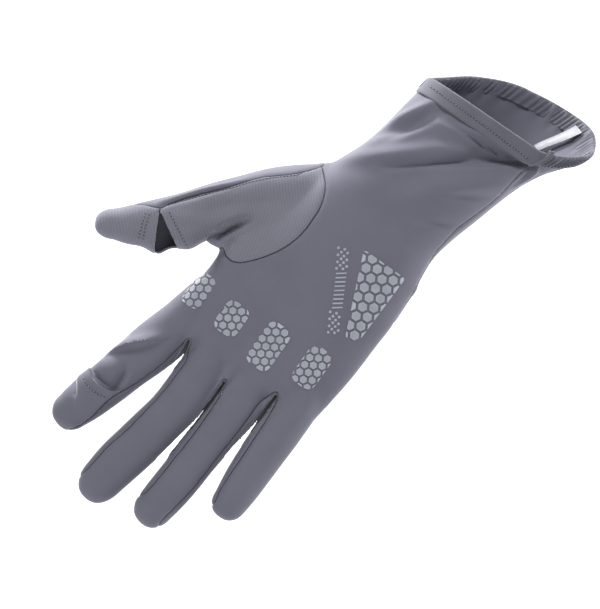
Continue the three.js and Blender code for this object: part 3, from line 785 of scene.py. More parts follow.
class Value:
    """A number in a material that takes part in sums, each of which becomes a node."""

    def __init__(self, finish, socket):
        self.finish, self.socket = finish, socket

    def __add__(self, other):
        return self.finish.math("ADD", self, other)

    def __sub__(self, other):
        return self.finish.math("SUBTRACT", self, other)

    def __rsub__(self, other):
        return self.finish.math("SUBTRACT", other, self)

    def __mul__(self, other):
        return self.finish.math("MULTIPLY", self, other)

    __radd__ = __add__
    __rmul__ = __mul__

    def sine(self):
        return self.finish.math("SINE", self)

    def wave(self, pitch):
        """-1 to 1 and back at each pitch."""
        return (self * (2 * math.pi / pitch)).sine()

    def ramp(self, start, end):
        """0 to 1 between two values, held at its ends."""
        settings = {"interpolation_type": "SMOOTHSTEP"}
        sockets = {"Value": self, "From Min": start, "From Max": end}
        return self.finish.node("ShaderNodeMapRange", settings, sockets)


class Finish:
    """A material and the nodes that make it, begun anew where it was made before."""

    def __init__(self, name):
        self.material = bpy.data.materials.get(name) or bpy.data.materials.new(name)
        self.material.use_nodes = True
        self.nodes, self.links = self.material.node_tree.nodes, self.material.node_tree.links
        self.nodes.clear()
        self.shader = self.nodes.new("ShaderNodeBsdfPrincipled")
        output = self.nodes.new("ShaderNodeOutputMaterial")
        self.links.new(self.shader.outputs["BSDF"], output.inputs["Surface"])

    def node(self, kind, settings, sockets, output=0):
        made = self.nodes.new(kind)
        for key, value in settings.items():
            setattr(made, key, value)
        for key, value in sockets.items():
            value = value.socket if isinstance(value, Value) else value
            if isinstance(value, bpy.types.NodeSocket):
                self.links.new(value, made.inputs[key])
            else:
                made.inputs[key].default_value = value
        return Value(self, made.outputs[output])

    def math(self, operation, *values):
        return self.node("ShaderNodeMath", {"operation": operation}, dict(enumerate(values)))

    def place(self):
        """Object coordinates in millimetres, whole and as x, y and z."""
        spot = self.node("ShaderNodeTexCoord", {}, {}, "Object")
        sockets = {0: spot, "Scale": 1 / MM}
        scaled = self.node("ShaderNodeVectorMath", {"operation": "SCALE"}, sockets)
        split = self.node("ShaderNodeSeparateXYZ", {}, {0: scaled})
        return scaled, *(Value(self, split.socket.node.outputs[i]) for i in range(3))

    def noise(self, spot, size, detail=2, roughness=0.5):
        sockets = {"Vector": spot, "Scale": 1 / size, "Detail": detail, "Roughness": roughness}
        return self.node("ShaderNodeTexNoise", {}, sockets)

    def attribute(self, name):
        return self.node("ShaderNodeAttribute", {"attribute_name": name}, {}, "Fac")

    def mix(self, share, first, second):
        """A colour between two others, each a colour or a value from a node."""
        sockets = {0: share, 6: first, 7: second}
        return self.node("ShaderNodeMix", {"data_type": "RGBA"}, sockets, 2)

    def painted_seam_shade(self, tone, color):
        """The tone, with painted shade: a dark copy of the colour laid along the seams."""
        return self.mix(self.attribute("seam").ramp(0.5, 0.1) * 0.7, tone, rgb(color, 0.2))

    def bump(self, height, distance, strength):
        sockets = {"Height": height, "Distance": distance * MM, "Strength": strength}
        return self.node("ShaderNodeBump", {}, sockets)

    def feed(self, **sockets):
        for key, value in sockets.items():
            socket = self.shader.inputs[key.replace("_", " ")]
            if isinstance(value, Value):
                self.links.new(value.socket, socket)
            else:
                socket.default_value = value
        return self.material


def rgb(color, share=1.0):
    return (*[c * share for c in color[:3]], 1)


def knit_cloth(color):
    """Matte stretch knit with fine courses, and painted shade darkening it along its seams."""
    finish = Finish("knit cloth")
    spot, x, y, z = finish.place()
    course = (z * (2 * math.pi / 0.62) + (x * (math.pi / 0.55)).sine() * 0.9).sine()
    weave = course * 0.6 + (x + y).wave(0.55) * 0.4
    grain = finish.noise(spot, 0.7, 3)
    cloud = finish.noise(spot, 22, 2)
    tone = finish.mix(cloud.ramp(0.35, 0.65), rgb(color, 0.965), rgb(color, 1.035))
    tone = finish.mix(grain.ramp(0.2, 0.8) * 0.1, tone, rgb(color, 0.8))
    # Painted shade along the seams.
    tone = finish.painted_seam_shade(tone, color)
    bump = finish.bump(weave * 0.5 + grain, 0.05, 0.5)
    return finish.feed(
        Base_Color=tone, Roughness=0.72, Normal=bump, Specular_IOR_Level=0.35,
        Sheen_Weight=0.9, Sheen_Roughness=0.3, Sheen_Tint=(0.97, 0.98, 1, 1),
    )


def ribbed_cloth(color):
    """Knit with fine ribs across the thumb and finer ones along it."""
    finish = Finish("ribbed cloth")
    spot, x, _, z = finish.place()
    (rx, rz), (ax, az) = REACH["root"], REACH["along"]
    along = (x - rx) * ax + (z - rz) * az
    beside = (z - rz) * ax - (x - rx) * az
    ribs = (along + beside * beside * 0.006).wave(1.25)
    cords = (beside - along * along * 0.0015).wave(0.95)
    pique = ribs * 0.6 + cords * 0.4
    grain = finish.noise(spot, 0.6, 3)
    tone = finish.mix(pique.ramp(-0.9, 0.9), rgb(color, 0.9), rgb(color, 1.08))
    tone = finish.mix(grain.ramp(0.2, 0.8) * 0.1, tone, rgb(color, 0.8))
    # Painted shade along the seams.
    tone = finish.painted_seam_shade(tone, color)
    bump = finish.bump(pique * 0.8 + grain * 0.5, 0.09, 0.6)
    return finish.feed(
        Base_Color=tone, Roughness=0.8, Normal=bump, Specular_IOR_Level=0.3,
        Sheen_Weight=0.8, Sheen_Roughness=0.3, Sheen_Tint=(0.97, 0.98, 1, 1),
    )


def band_cloth(color):
    """The folded cloth of the cuff's bands."""
    finish = Finish("band cloth")
    spot, x, y, z = finish.place()
    grain = finish.noise(spot, 0.6, 3)
    cloud = finish.noise(spot, 9, 2)
    weave = (x + y).wave(0.6) * 0.5 + z.wave(0.6) * 0.5
    tone = finish.mix(cloud.ramp(0.3, 0.7), rgb(color, 0.95), rgb(color, 1.05))
    tone = finish.mix(grain.ramp(0.2, 0.8) * 0.12, tone, rgb(color, 0.75))
    bump = finish.bump(weave * 0.5 + grain, 0.06, 0.55)
    return finish.feed(
        Base_Color=tone, Roughness=0.75, Normal=bump, Specular_IOR_Level=0.3,
        Sheen_Weight=0.5, Sheen_Roughness=0.4, Sheen_Tint=(0.93, 0.94, 1, 1),
    )


def silicone_print(color):
    """Semi-gloss print with a faint orange-peel surface, painted shade in the middle of each whole
    cell and a painted highlight on cut cells.
    """
    finish = Finish("silicone print")
    spot, _, _, _ = finish.place()
    grain = finish.noise(spot, 0.8, 2)
    cloud = finish.noise(spot, 6, 2)
    tone = finish.mix(cloud.ramp(0.35, 0.65), rgb(color, 0.94), rgb(color, 1.06))
    # Painted light from the tone attribute: the middles of whole cells are darkened as shade, and
    # cut cells at the print's edge are lightened as a highlight.
    shade = finish.attribute("tone")
    tone = finish.mix(shade.ramp(0, 1) * 0.3, tone, rgb(color, 0.7))
    tone = finish.mix(shade.ramp(0, -1) * 0.35, tone, rgb(color, 1.5))
    bump = finish.bump(grain, 0.05, 0.5)
    return finish.feed(
        Base_Color=tone, Roughness=0.42 + cloud * 0.16, Normal=bump, Specular_IOR_Level=0.5,
        Coat_Weight=0.15, Coat_Roughness=0.25,
    )


def sewing_thread(color):
    """Polyester thread, twisted."""
    finish = Finish("sewing thread")
    spot, x, y, z = finish.place()
    twist = (x + y + z).wave(0.3)
    grain = finish.noise(spot, 0.4, 2)
    tone = finish.mix(twist.ramp(-1, 1), rgb(color, 0.8), rgb(color, 1.15))
    # Painted shade: faces marked as holes are darkened almost to black.
    tone = finish.mix(finish.attribute("tone"), tone, rgb(color, 0.1))
    return finish.feed(
        Base_Color=tone, Roughness=0.55, Normal=finish.bump(twist + grain, 0.04, 0.6),
        Sheen_Weight=0.2, Sheen_Roughness=0.4,
    )


def label_tape():
    """Smooth white woven tape."""
    finish = Finish("label tape")
    spot, x, _, z = finish.place()
    weave = x.wave(0.35) * z.wave(0.35)
    grain = finish.noise(spot, 1.2, 2)
    tone = finish.mix(grain.ramp(0.3, 0.7), (0.4, 0.41, 0.44, 1), (0.47, 0.48, 0.51, 1))
    return finish.feed(Base_Color=tone, Roughness=0.6, Normal=finish.bump(weave, 0.03, 0.5))


def pale_ground(name, glow):
    """Plain matte paper, lit through from behind where it glows."""
    finish = Finish(name)
    spot, _, _, _ = finish.place()
    grain = finish.noise(spot, 2, 2)
    tone = finish.mix(grain, (0.86, 0.86, 0.87, 1), (0.89, 0.89, 0.9, 1))
    return finish.feed(
        Base_Color=tone, Roughness=0.9, Normal=finish.bump(grain, 0.05, 0.3),
        Emission_Color=(1, 1, 1, 1), Emission_Strength=glow,
    )


# Settings

class GloveCloth(bpy.types.PropertyGroup):
    thickness: bpy.props.FloatProperty(
        name="Cloth thickness", description="Thickness of one layer of cloth",
        default=0.0008, min=0.0003, max=0.0015, unit="LENGTH", subtype="DISTANCE",
    )
    fineness: bpy.props.FloatProperty(
        name="Fineness", description="Size of the faces that the cloth is made of",
        default=0.00105, min=0.0006, max=0.003, unit="LENGTH", subtype="DISTANCE",
    )
    color: bpy.props.FloatVectorProperty(
        name="Cloth colour", description="Colour of the palm and back cloth",
        default=(0.148, 0.146, 0.188), size=3, min=0, max=1, subtype="COLOR",
    )
    # Lighter than the palm cloth: partly the ribbed cloth's own colour, partly painted light for
    # the thumb catching more of the lamps.
    rib_color: bpy.props.FloatVectorProperty(
        name="Thumb colour", description="Colour of the ribbed thumb cloth",
        default=(0.19, 0.19, 0.232), size=3, min=0, max=1, subtype="COLOR",
    )


class GloveCuff(bpy.types.PropertyGroup):
    hem_width: bpy.props.FloatProperty(
        name="Hem width", description="Width of the stitched hem at the front of the cuff",
        default=0.0078, min=0.004, max=0.015, unit="LENGTH", subtype="DISTANCE",
    )
    band_width: bpy.props.FloatProperty(
        name="Elastic width", description="Width of the gathered elastic band",
        default=0.0072, min=0.004, max=0.015, unit="LENGTH", subtype="DISTANCE",
    )
    color: bpy.props.FloatVectorProperty(
        name="Band colour", description="Colour of the cuff's bands",
        default=(0.132, 0.132, 0.164), size=3, min=0, max=1, subtype="COLOR",
    )
    thread_color: bpy.props.FloatVectorProperty(
        name="Thread colour", description="Colour of the sewing thread",
        default=(0.22, 0.22, 0.26), size=3, min=0, max=1, subtype="COLOR",
    )


class GlovePrints(bpy.types.PropertyGroup):
    height: bpy.props.FloatProperty(
        name="Print height", description="How far the grip prints stand out of the cloth",
        default=0.00028, min=0.0001, max=0.001, unit="LENGTH", subtype="DISTANCE",
    )
    color: bpy.props.FloatVectorProperty(
        name="Print colour", description="Colour of the silicone grip prints",
        default=(0.36, 0.383, 0.433), size=3, min=0, max=1, subtype="COLOR",
    )


class GloveStage(bpy.types.PropertyGroup):
    lens: bpy.props.FloatProperty(
        name="Lens", description="Focal length of the camera",
        default=200, min=35, max=400, unit="CAMERA",
    )
    roll: bpy.props.FloatProperty(
        name="Roll", description="How far the camera is rolled about its line of sight",
        default=math.radians(35), subtype="ANGLE",
    )
    light: bpy.props.FloatProperty(
        name="Key light", description="Power of the large soft light at the front",
        default=8.8, min=0, unit="POWER",
    )
    ambient: bpy.props.FloatProperty(
        name="Ambient", description="Strength of the even light from all round",
        default=0.28, min=0, subtype="FACTOR",
    )


# Operators

class MakeStage(bpy.types.Operator):
    """Set up the camera, the soft lights and the pale floor"""
    bl_idname = "glove.make_stage"
    bl_label = "Make stage"

    def execute(self, context):
        settings = context.scene.glove_stage
        middle = Vector(VIEW["middle"]) * MM
        data = bpy.data.cameras.new("camera")
        data.lens, data.sensor_width, data.sensor_fit = settings.lens, 36, "AUTO"
        away = VIEW["long_side"] * VIEW["scale"] * MM * settings.lens / data.sensor_width
        data.clip_start, data.clip_end = 0.05, 20
        camera = bpy.data.objects.new("camera", data)
        context.collection.objects.link(camera)
        c, s = math.cos(settings.roll), math.sin(settings.roll)
        turned = Matrix(((c, -s, 0), (0, 0, -1), (s, c, 0)))
        camera.matrix_world = Matrix.Translation(middle + Vector((0, -away, 0))) @ turned.to_4x4()
        context.scene.camera = camera

        world = context.scene.world or bpy.data.worlds.new("studio")
        context.scene.world = world
        world.use_nodes = True
        ground = world.node_tree.nodes["Background"]
        ground.inputs["Color"].default_value = (0.96, 0.97, 1, 1)
        ground.inputs["Strength"].default_value = settings.ambient
        context.scene.view_settings.view_transform = "Standard"
        for name, spot, size, share in LAMPS:
            lamp = bpy.data.lights.new(name, "AREA")
            lamp.shape, lamp.size, lamp.energy = "DISK", size, settings.light * share
            light = bpy.data.objects.new(name, lamp)
            light.location = spot
            aim = middle - light.location
            light.rotation_euler = aim.to_track_quat("-Z", "Y").to_euler()
            context.collection.objects.link(light)

        floor = self.ground("floor", pale_ground("pale ground", 0), (0, -0.5, -0.9), 0)
        wall = self.ground("backdrop", pale_ground("lit ground", 1), (0, 3, 2.6), 90)
        return {"FINISHED"}

    def ground(self, name, material, place, turn):
        bpy.ops.object.select_all(action="DESELECT")
        rotation = (math.radians(turn), 0, 0)
        bpy.ops.mesh.primitive_plane_add(size=GROUND_SIZE, location=place, rotation=rotation)
        plane = bpy.context.object
        plane.name = name
        plane.data.materials.append(material)
        return plane


class MakeShell(bpy.types.Operator):
    """Make the glove's cloth: palm, back, thumb and thumb tip, each cut along its seams"""
    bl_idname = "glove.make_shell"
    bl_label = "Make cloth"

    def execute(self, context):
        settings = context.scene.glove_cloth
        form = self.form(settings)
        pieces = cut_pieces(form, self.seams(), self.label)
        cloth, ribs = knit_cloth(settings.color), ribbed_cloth(settings.rib_color)
        made = [
            (1, "palm_cloth", cloth, "cloth", "palm_panel"),
            (2, "back_cloth", cloth, "cloth", "back_panel"),
            (3, "thumb_cloth", ribs, "ribbed_cloth", "thumb_panel"),
            (4, "thumb_tip_cloth", ribs, "ribbed_cloth", "thumb_cap"),
        ]
        for number, name, material, slot, node in made:
            piece = pieces[number]
            largest_only(piece)
            apply_modifier(piece, "SOLIDIFY", thickness=settings.thickness, offset=-1)
            bend_to_pose(piece)
            finish_piece(piece, name, material, [node])
        return {"FINISHED"}

    def form(self, settings):
        """The whole outer surface of the glove in one even mesh, before it is bent to its pose."""
        last = len(BODY) - 1

        def body(share, angle):
            place = share * (last + 1) - 1
            points = body_points(np.maximum(place, 0), angle)
            points[:, 2] += PAST_RIM * np.maximum(-place, 0)
            return points

        tubes = [tube("body", *BODY_MESH, body)]
        for name in FINGERS:
            tubes.append(tube(name, *FINGER_MESH, partial(finger_points, name)))
        form = join("form", tubes)
        apply_modifier(form, "REMESH", mode="VOXEL", voxel_size=settings.fineness)
        self.refine(form)
        x, _, z = points_of(form.data).T
        weigh(form, "blend", self.blending(x, z), 0.02)
        apply_modifier(form, "SMOOTH", factor=0.5, iterations=3)
        apply_modifier(form, "SMOOTH", factor=0.7, iterations=12, vertex_group="blend")
        at, normals = points_of(form.data), vectors_of(form.data, "normal")
        at += normals * relief(at, normals)[:, None]
        x, y, z = at.T
        for path, half, depth in CROTCHES:
            off = np.abs(beside_curve(bent(path), x, z)[0])
            push = depth * smooth(*(share * half for share in SLIT_WALLS), off)
            front = np.minimum(y + push, -SLIT_HELD)
            back = np.maximum(y - SLIT_BEHIND * push, SLIT_HELD)
            y = np.where(y < -SLIT_HELD, front, np.where(y > SLIT_HELD, back, y))
        move_points(form, np.stack([x, y, z], -1))
        x, _, z = points_of(form.data).T
        weigh(form, "slits", smooth(*SLIT_SOFT, from_slits(x, z)))
        apply_modifier(form, "SMOOTH", factor=0.5, iterations=3, vertex_group="slits")
        return form

    def blending(self, x, z):
        """How far points are evened out where the fingers and the thumb leave the palm."""
        along, beside = beside_thumb(x, z)
        knuckles = smooth(*KNUCKLES["near"], np.abs(z - KNUCKLES["level"]))
        knuckles *= (x > KNUCKLES["left"]) * smooth(*KNUCKLES["slit"], from_slits(x, z))
        root = smooth(*THUMB_ROOT["length"], np.abs(along - THUMB_ROOT["along"]))
        root *= smooth(*THUMB_ROOT["width"], np.abs(beside - THUMB_ROOT["beside"]))
        root *= smooth(*THUMB_ROOT["top"], z)
        return np.maximum(knuckles, THUMB_ROOT["share"] * root)

    def refine(self, form):
        """Smaller faces in and beside the slits between the fingers."""
        activate(form)
        bpy.ops.object.mode_set(mode="EDIT")
        bpy.ops.mesh.select_mode(type="FACE")
        bpy.ops.mesh.select_all(action="DESELECT")
        bm = bmesh.from_edit_mesh(form.data)
        x, _, z = (np.array([f.calc_center_median() for f in bm.faces]) / MM).T
        for face, far in zip(bm.faces, from_slits(x, z)):
            face.select_set(bool(far < SLIT_NEAR))
        bmesh.update_edit_mesh(form.data)
        bpy.ops.mesh.subdivide(number_cuts=2)
        bpy.ops.object.mode_set(mode="OBJECT")

    def seams(self):
        outlines = [[*splined(GUSSET), *THUMB_SIDE], SLIT, CAP_SIDE, UNDER_HOOD]
        return [
            *seams_between_sides(),
            *map(palm_side_field, outlines),
            *(lambda x, y, z, gap=gap: outside(gap, x, z) for gap in GAPS),
            self.above_rim,
        ]

    def above_rim(self, x, y, z):
        rim = body_points(np.zeros_like(x), around_cuff(x, y, z))[:, 2]
        return np.where(z > CUFF_END, z - rim, -FAR)

    def label(self, x, y, z):
        front = in_front(x, y, z)
        thumb = outside([*splined(GUSSET), *THUMB_SIDE], x, z) < 0
        number = np.where(front, np.where(thumb, 3, 1), 2)
        number[front & thumb & (outside(CAP_SIDE, x, z) < 0)] = 4
        number[front & thumb & (outside(SLIT, x, z) < 0)] = 0
        number[front & (outside(UNDER_HOOD, x, z) < 0)] = 0
        number[np.min([outside(gap, x, z) for gap in GAPS], axis=0) < 0] = 0
        number[self.above_rim(x, y, z) > 0] = 0
        return number


class MakeHood(bpy.types.Operator):
    """Make the hood that folds over the tip of the index finger"""
    bl_idname = "glove.make_hood"
    bl_label = "Make index hood"

    def execute(self, context):
        settings = context.scene.glove_cloth
        form = tube("hood", *HOOD_MESH, partial(finger_points, "index"))
        at, normals = points_of(form.data), vectors_of(form.data, "normal")
        front = smooth(*HOOD_RISE["front"], at[:, 1])
        rise = HOOD_RISE["round"] + front * smooth(*HOOD_RISE["above_tip"], at[:, 2])
        lifted = relief(at, normals, HOOD_FOLDS) + HOOD_RISE["height"] * rise
        move_points(form, at + normals * lifted[:, None])
        hem = [*splined(HOOD_HEM), *HOOD_SIDE]

        def label(x, y, z):
            return np.where(outside(hem, x, z) < 0, np.where(in_front(x, y, z), 1, 2), 0)

        fields = [*seams_between_sides(), lambda x, y, z: outside(hem, x, z)]
        piece, beside = cut_pieces(form, fields, label).values()
        bpy.data.objects.remove(beside)
        largest_only(piece)
        thickness = settings.thickness * HOOD_THICKNESS
        apply_modifier(piece, "SOLIDIFY", thickness=thickness, offset=-1)
        bend_to_pose(piece)
        finish_piece(piece, "index_hood", knit_cloth(settings.color), ["index_cap"])
        return {"FINISHED"}


def cuff_strip(name, turn, long, profile, ripple=0.0):
    """A band round the cuff between two angles: profile lists distances below the rim and heights
    above the cloth, from the outer edge over the rim to the inner edge."""
    start, end = map(math.radians, turn)
    below, above = np.array(profile, float).T

    def points(share, across):
        angle = start + (end - start) * share
        k = across * (len(below) - 1)
        down = np.interp(k, np.arange(len(below)), below)
        rise = np.interp(k, np.arange(len(above)), above)
        rim = body_points(np.zeros_like(angle), angle)
        arc = angle * GATHERS["radius"]
        even = arc * 2 * math.pi / GATHERS["pitch"]
        crimp = np.sin(even + 0.8 * np.sin(arc * 0.37) + 0.5 * np.sin(arc * 0.91))
        across = np.sin(np.clip(down / GATHERS["width"], 0, 1) * math.pi * 0.8 + 0.3)
        shape = ripple * crimp * across * np.where(rise < 0, GATHERS["inside"], 1)
        place = np.clip(down / BODY_STEP, 0, None)
        at = body_points(place, angle, rise + shape)
        at[:, 2] = np.where(down < 0, rim[:, 2] - down, at[:, 2])
        return at

    return strip(name, long, len(profile) * 2 - 1, points)


class MakeCuff(bpy.types.Operator):
    """Make the cuff's stitched hem, the gathered band round the rest of it and the label"""
    bl_idname = "glove.make_cuff"
    bl_label = "Make cuff"

    def execute(self, context):
        settings = context.scene.glove_cuff
        material = band_cloth(settings.color)
        wide = settings.hem_width / MM
        hem = cuff_strip("hem", HEM_TURN, 220, [
            (wide - 0.4, 0.15), (wide, 0.55), (wide - 0.15, 1.0), (wide - 0.7, 1.25),
            (wide * 0.75, 1.15), (wide * 0.5, 1.1), (wide * 0.25, 1.15), (0.5, 1.1), (0, 0.95),
            (-0.4, 0.5), (-0.45, 0), (-0.2, -0.6), (0.5, -1.0), (3, -1.1), (wide - 1, -1.1),
        ])
        tab = cuff_strip("tab", TAB_TURN, 12, [
            (wide + 0.3, 0.5), (wide * 0.8, 1.5), (wide * 0.5, 1.7), (wide * 0.2, 1.9),
            (-0.8, 1.9), (-2.0, 1.6), (-2.3, 0.9), (-1.2, 0.3), (0.5, 0.6),
        ])
        hem = join("hem", [hem, tab])
        wide = settings.band_width / MM
        band = cuff_strip("band", BAND_TURN, 900, [
            (wide - 0.3, 0.1), (wide, 0.5), (wide - 0.2, 0.95), (wide * 0.85, 1.1),
            (wide * 0.6, 1.2), (wide * 0.4, 1.2), (wide * 0.2, 1.15), (0.5, 1.05), (0, 0.85),
            (-0.4, 0.4), (-0.45, 0), (-0.2, -0.5), (0.5, -1.0), (2, -1.2), (wide * 0.5, -1.25),
            (wide - 0.5, -1.1),
        ], ripple=GATHERS["height"])
        for piece, name, node in [
            (hem, "hem_band", "wrist_band"), (band, "gathered_band", "elastic_band"),
        ]:
            bend_to_pose(piece)
            apply_modifier(piece, "SOLIDIFY", thickness=BAND_THICKNESS * MM, offset=-1)
            finish_piece(piece, name, material, [node])
        label = strip("tape", *TAPE["mesh"], self.tape)
        bend_to_pose(label)
        apply_modifier(label, "SOLIDIFY", thickness=TAPE["thickness"] * MM, offset=0)
        finish_piece(label, "label_tape", label_tape(), ["care_label"])
        return {"FINISHED"}

    def tape(self, share, across):
        """Points of the label's tape, which hangs from the band and leans into the cuff."""
        turn, wide = TAPE["turn"]
        top, long = TAPE["place"]
        near, lean, curl = TAPE["lean"]
        inward = near + lean * across + curl * np.sin(share * 5) * across
        return body_points(top + long * across, np.radians(turn + wide * share), -inward)


def clipped(polygon, outline):
    """The part of a convex polygon inside a convex outline, both anticlockwise."""
    kept = [np.array(p, float) for p in polygon]
    for a, b in zip(outline, [*outline[1:], outline[0]]):
        edge = np.array([b[0] - a[0], b[1] - a[1]])
        side = [edge[0] * (p[1] - a[1]) - edge[1] * (p[0] - a[0]) for p in kept]
        new = []
        for i, p in enumerate(kept):
            j = (i + 1) % len(kept)
            if side[i] >= 0:
                new.append(p)
            if (side[i] >= 0) != (side[j] >= 0):
                new.append(p + (kept[j] - p) * side[i] / (side[i] - side[j]))
        kept = new
        if not kept:
            return []
    return kept


def round_corners(corners, radius, steps=4):
    corners = [np.array(c, float) for c in corners]
    made = []
    for i, corner in enumerate(corners):
        ends = []
        for other in (corners[i - 1], corners[(i + 1) % len(corners)]):
            side = other - corner
            length = np.hypot(*side)
            ends.append(corner + side * min(radius, length / 2) / length)
        for t in np.linspace(0, 1, steps + 1):
            made.append((1 - t) ** 2 * ends[0] + 2 * t * (1 - t) * corner + t * t * ends[1])
    return made


def ring_of(sides, radius):
    turn = np.radians(np.arange(sides) * (360 / sides))
    return np.stack([np.cos(turn), np.sin(turn)], -1) * radius


def area_of(polygon):
    x, z = np.array(polygon).T
    return 0.5 * (x * np.roll(z, -1) - np.roll(x, -1) * z).sum()


def raised_print(name, polygons, height, tree, shaded_core_rim=0):
    """Flat shapes laid on the cloth and raised."""
    points, faces = [], []
    for polygon in polygons:
        spots = [on_surface(tree, *corner) for corner in polygon]
        order = 1 if area_of(polygon) > 0 else -1
        faces.append(list(range(len(points), len(points) + len(spots)))[::order])
        points += [spot - normal * PRINT_SUNK * MM for spot, normal in spots]
    obj = mesh_object(name, points, faces)
    # The tone of each face carries the print's painted light: 1 is painted shade, -1 a painted
    # highlight.
    tone = obj.data.attributes.new("tone", "FLOAT", "FACE")
    # Whole cells get tone 1 in their middles, painted shade inside a rim; cut cells at the print's
    # edge get -1, a painted highlight.
    if shaded_core_rim:
        least = WHOLE_CELL * max(map(area_of, polygons))
        tone.data.foreach_set("value", [0.0 if area_of(p) > least else -1.0 for p in polygons])
        bm = bmesh.new()
        bm.from_mesh(obj.data)
        layer = bm.faces.layers.float["tone"]
        whole = [f for f in bm.faces if f[layer] == 0]
        inner = bmesh.ops.inset_individual(bm, faces=whole, thickness=shaded_core_rim * MM, depth=0)["faces"]
        for face in whole:
            face[layer] = 1.0
        for face in inner:
            face[layer] = 0.0
        bm.to_mesh(obj.data)
        bm.free()
    apply_modifier(obj, "SOLIDIFY", thickness=height, offset=1)
    return obj


class MakePrints(bpy.types.Operator):
    """Make the honeycomb grip prints and the dotted checks on the palm"""
    bl_idname = "glove.make_prints"
    bl_label = "Make grip prints"

    def execute(self, context):
        settings = context.scene.glove_prints
        material = silicone_print(settings.color)
        tree = surface_tree("palm_cloth")
        for node, (outline, radius, anchor, cells) in PRINTS.items():
            polygons = self.cells(round_corners(outline, radius), anchor, cells)
            if node == "grip_pad_index":
                across, along = unrolled(tree, *anchor)
                for cell in polygons:
                    for corner in cell:
                        corner[0] = anchor[0] + np.interp(corner[0] - anchor[0], along, across)
            obj = raised_print(node, polygons, settings.height, tree, CELL_RIM * cells["radius"])
            apply_modifier(obj, "BEVEL", width=0.12 * MM, segments=2, limit_method="ANGLE")
            finish_piece(obj, node.replace("pad", "print"), material, [node], 35)
        dot = ring_of(8, DOT_RADIUS)
        checks = [dot + shift + at for shift in ((0, 0), CHECK_SHIFT) for at in CHECK_DOTS]
        bar = np.array(BARS["corners"])
        for k in range(BARS["count"]):
            checks.append(bar + BARS["first"] + np.array(BARS["step"]) * k)
        obj = raised_print("checks", checks, settings.height * CHECK_HEIGHT, tree)
        finish_piece(obj, "print_checks", material, (), 35)
        return {"FINISHED"}

    def cells(self, outline, anchor, cells):
        """The hexagons of one print, clipped to its outline."""
        found = []
        ring = ring_of(6, cells["radius"])
        for i in range(-8, 9):
            for j in range(-10, 11):
                x = anchor[0] + i * cells["column"]
                z = anchor[1] + (j + (i % 2) / 2) * cells["row"]
                cell = clipped(ring + (x, z), outline)
                if len(cell) > 2 and area_of(cell) > SMALLEST_CELL:
                    found.append(cell)
        return found


def stitch_run(tree, path):
    """The threads of a run of stitches and the holes between them: where each starts and ends, its
    outward direction, its thickness and its tone, 1 for a hole."""
    x, z = np.array(path, float).T
    sums = np.concatenate([[0], np.cumsum(np.hypot(np.diff(x), np.diff(z)))])
    pitch, found = STITCH["pitch"], []
    for k in range(int(sums[-1] / pitch)):
        for middle, length, tone in [
            (k + 0.5, STITCH["thread"], 0.0), (k + 1.0, STITCH["hole"], 1.0),
        ]:
            spots = []
            for end in (middle - length / 2, middle + length / 2):
                far = end * pitch
                spots.append(on_surface(tree, np.interp(far, sums, x), np.interp(far, sums, z)))
            (a, normal), (b, _) = spots
            # A hole is a dark bead of painted shade, a little wider than a thread and sunk into
            # the cloth.
            thick = STITCH["thick"] * (1 + STITCH["hole_wider"] * tone)
            found.append((a, b, normal, thick, tone))
    return found


def sewn(name, runs):
    """Short threads, and dark beads of painted shade in the holes that they pass through, at each
    place of the runs.
    """
    bpy.ops.object.select_all(action="DESELECT")
    bpy.ops.mesh.primitive_uv_sphere_add(segments=8, ring_count=6, radius=1)
    bead = bpy.context.object
    shape = np.array([v.co for v in bead.data.vertices])
    loops = [list(p.vertices) for p in bead.data.polygons]
    bpy.data.objects.remove(bead)
    points, faces, painted_hole_shade = [], [], []
    for start, end, normal, thick, tone in runs:
        along = (end - start).normalized()
        side = normal.cross(along).normalized()
        half = (end - start).length / 2 + thick * MM * 0.5
        matrix = np.array([along * half, side * thick * MM, along.cross(side) * thick * MM])
        faces += [[i + len(points) for i in loop] for loop in loops]
        # Holes get tone 1, which the thread's finish paints dark as shade.
        painted_hole_shade += [tone] * len(loops)
        middle = (start + end) / 2 + normal * (STITCH["lift"] - STITCH["sunk"] * tone) * MM
        points += list(shape @ matrix + np.array(middle))
    obj = mesh_object(name, points, faces)
    obj.data.attributes.new("tone", "FLOAT", "FACE").data.foreach_set("value", painted_hole_shade)
    return obj


# The runs of stitches in front view.
HEM_RUNS = [[(-36, -7.3), (-20, -8.1), (0, -8.8), (16, -9.2)]]
THUMB_RUNS = [
    [(-94.6, -112.2), (-90, -114.6), (-85.6, -117), (-79, -120.6)],
    [(-100.2, -117), (-98.6, -122), (-96, -128.5)],
    [(-101.8, -117.5), (-100.4, -122), (-97.8, -128.8)],
    [(-96.4, -111.6), (-90.4, -103.6), (-80.4, -91.6), (-74.4, -83.6), (-69.4, -78),
     (-59.6, -69.4), (-55, -62.6)],
]
BAND_RUNS = [[(21.8, -8.4), (25.4, -6.2), (29.4, -3.2), (33.4, 0.8), (35.2, 4.6)]]
HOOD_RUNS = [[(-84.6, -189.2), (-82.5, -190.5), (-80, -191.4), (-75, -191.7), (-70.8, -190.6)]]


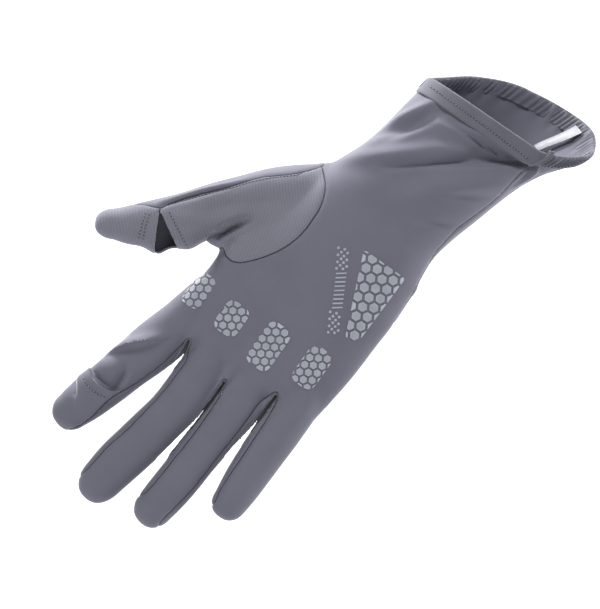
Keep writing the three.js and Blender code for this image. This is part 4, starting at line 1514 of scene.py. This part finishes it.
class MakeStitches(bpy.types.Operator):
    """Sew the hems of the cuff, the thumb's slit and the index hood"""
    bl_idname = "glove.make_stitches"
    bl_label = "Make stitches"

    def execute(self, context):
        thread = sewing_thread(context.scene.glove_cuff.thread_color)
        for name, cloth, slot, runs in [
            ("hem_stitches", ["hem_band"], "band_cloth", HEM_RUNS),
            ("band_stitches", ["gathered_band"], "band_cloth", BAND_RUNS),
            ("thumb_stitches", ["thumb_cloth", "thumb_tip_cloth"], "ribbed_cloth", THUMB_RUNS),
            ("hood_stitches", ["index_hood"], "cloth", HOOD_RUNS),
        ]:
            tree = surface_tree(*cloth)
            obj = sewn(name, [stitch for run in runs for stitch in stitch_run(tree, run)])
            finish_piece(obj, name, thread)
        return {"FINISHED"}


class DeclareCloth(bpy.types.Operator):
    """A step of its own that does nothing"""
    bl_idname = "glove.declare_cloth"
    bl_label = "State cut sizes"

    def execute(self, context):
        return {"FINISHED"}


STEPS = (MakeStage, MakeShell, MakeHood, MakeCuff, MakePrints, MakeStitches, DeclareCloth)


class GlovePanel(bpy.types.Panel):
    """Sizes, colours and steps of the sun glove"""
    bl_idname = "VIEW3D_PT_glove"
    bl_label = "Sun glove"
    bl_space_type = "VIEW_3D"
    bl_region_type = "UI"
    bl_category = "Sun glove"

    def draw(self, context):
        for name in GROUPS:
            group = getattr(context.scene, name)
            for key in group.__annotations__:
                self.layout.prop(group, key)
        for step in STEPS:
            self.layout.operator(step.bl_idname)


GROUPS = {
    "glove_cloth": GloveCloth,
    "glove_cuff": GloveCuff,
    "glove_prints": GlovePrints,
    "glove_stage": GloveStage,
}


def register():
    for group in (*GROUPS.values(), *STEPS, GlovePanel):
        bpy.utils.register_class(group)
    for name, group in GROUPS.items():
        setattr(bpy.types.Scene, name, bpy.props.PointerProperty(type=group))


def unregister():
    for name in GROUPS:
        delattr(bpy.types.Scene, name)
    for group in (GlovePanel, *reversed(STEPS), *reversed(GROUPS.values())):
        bpy.utils.unregister_class(group)


def main():
    register()
    for step in STEPS:
        group, name = step.bl_idname.split(".")
        getattr(getattr(bpy.ops, group), name)()


if __name__ == "__main__":
    main()
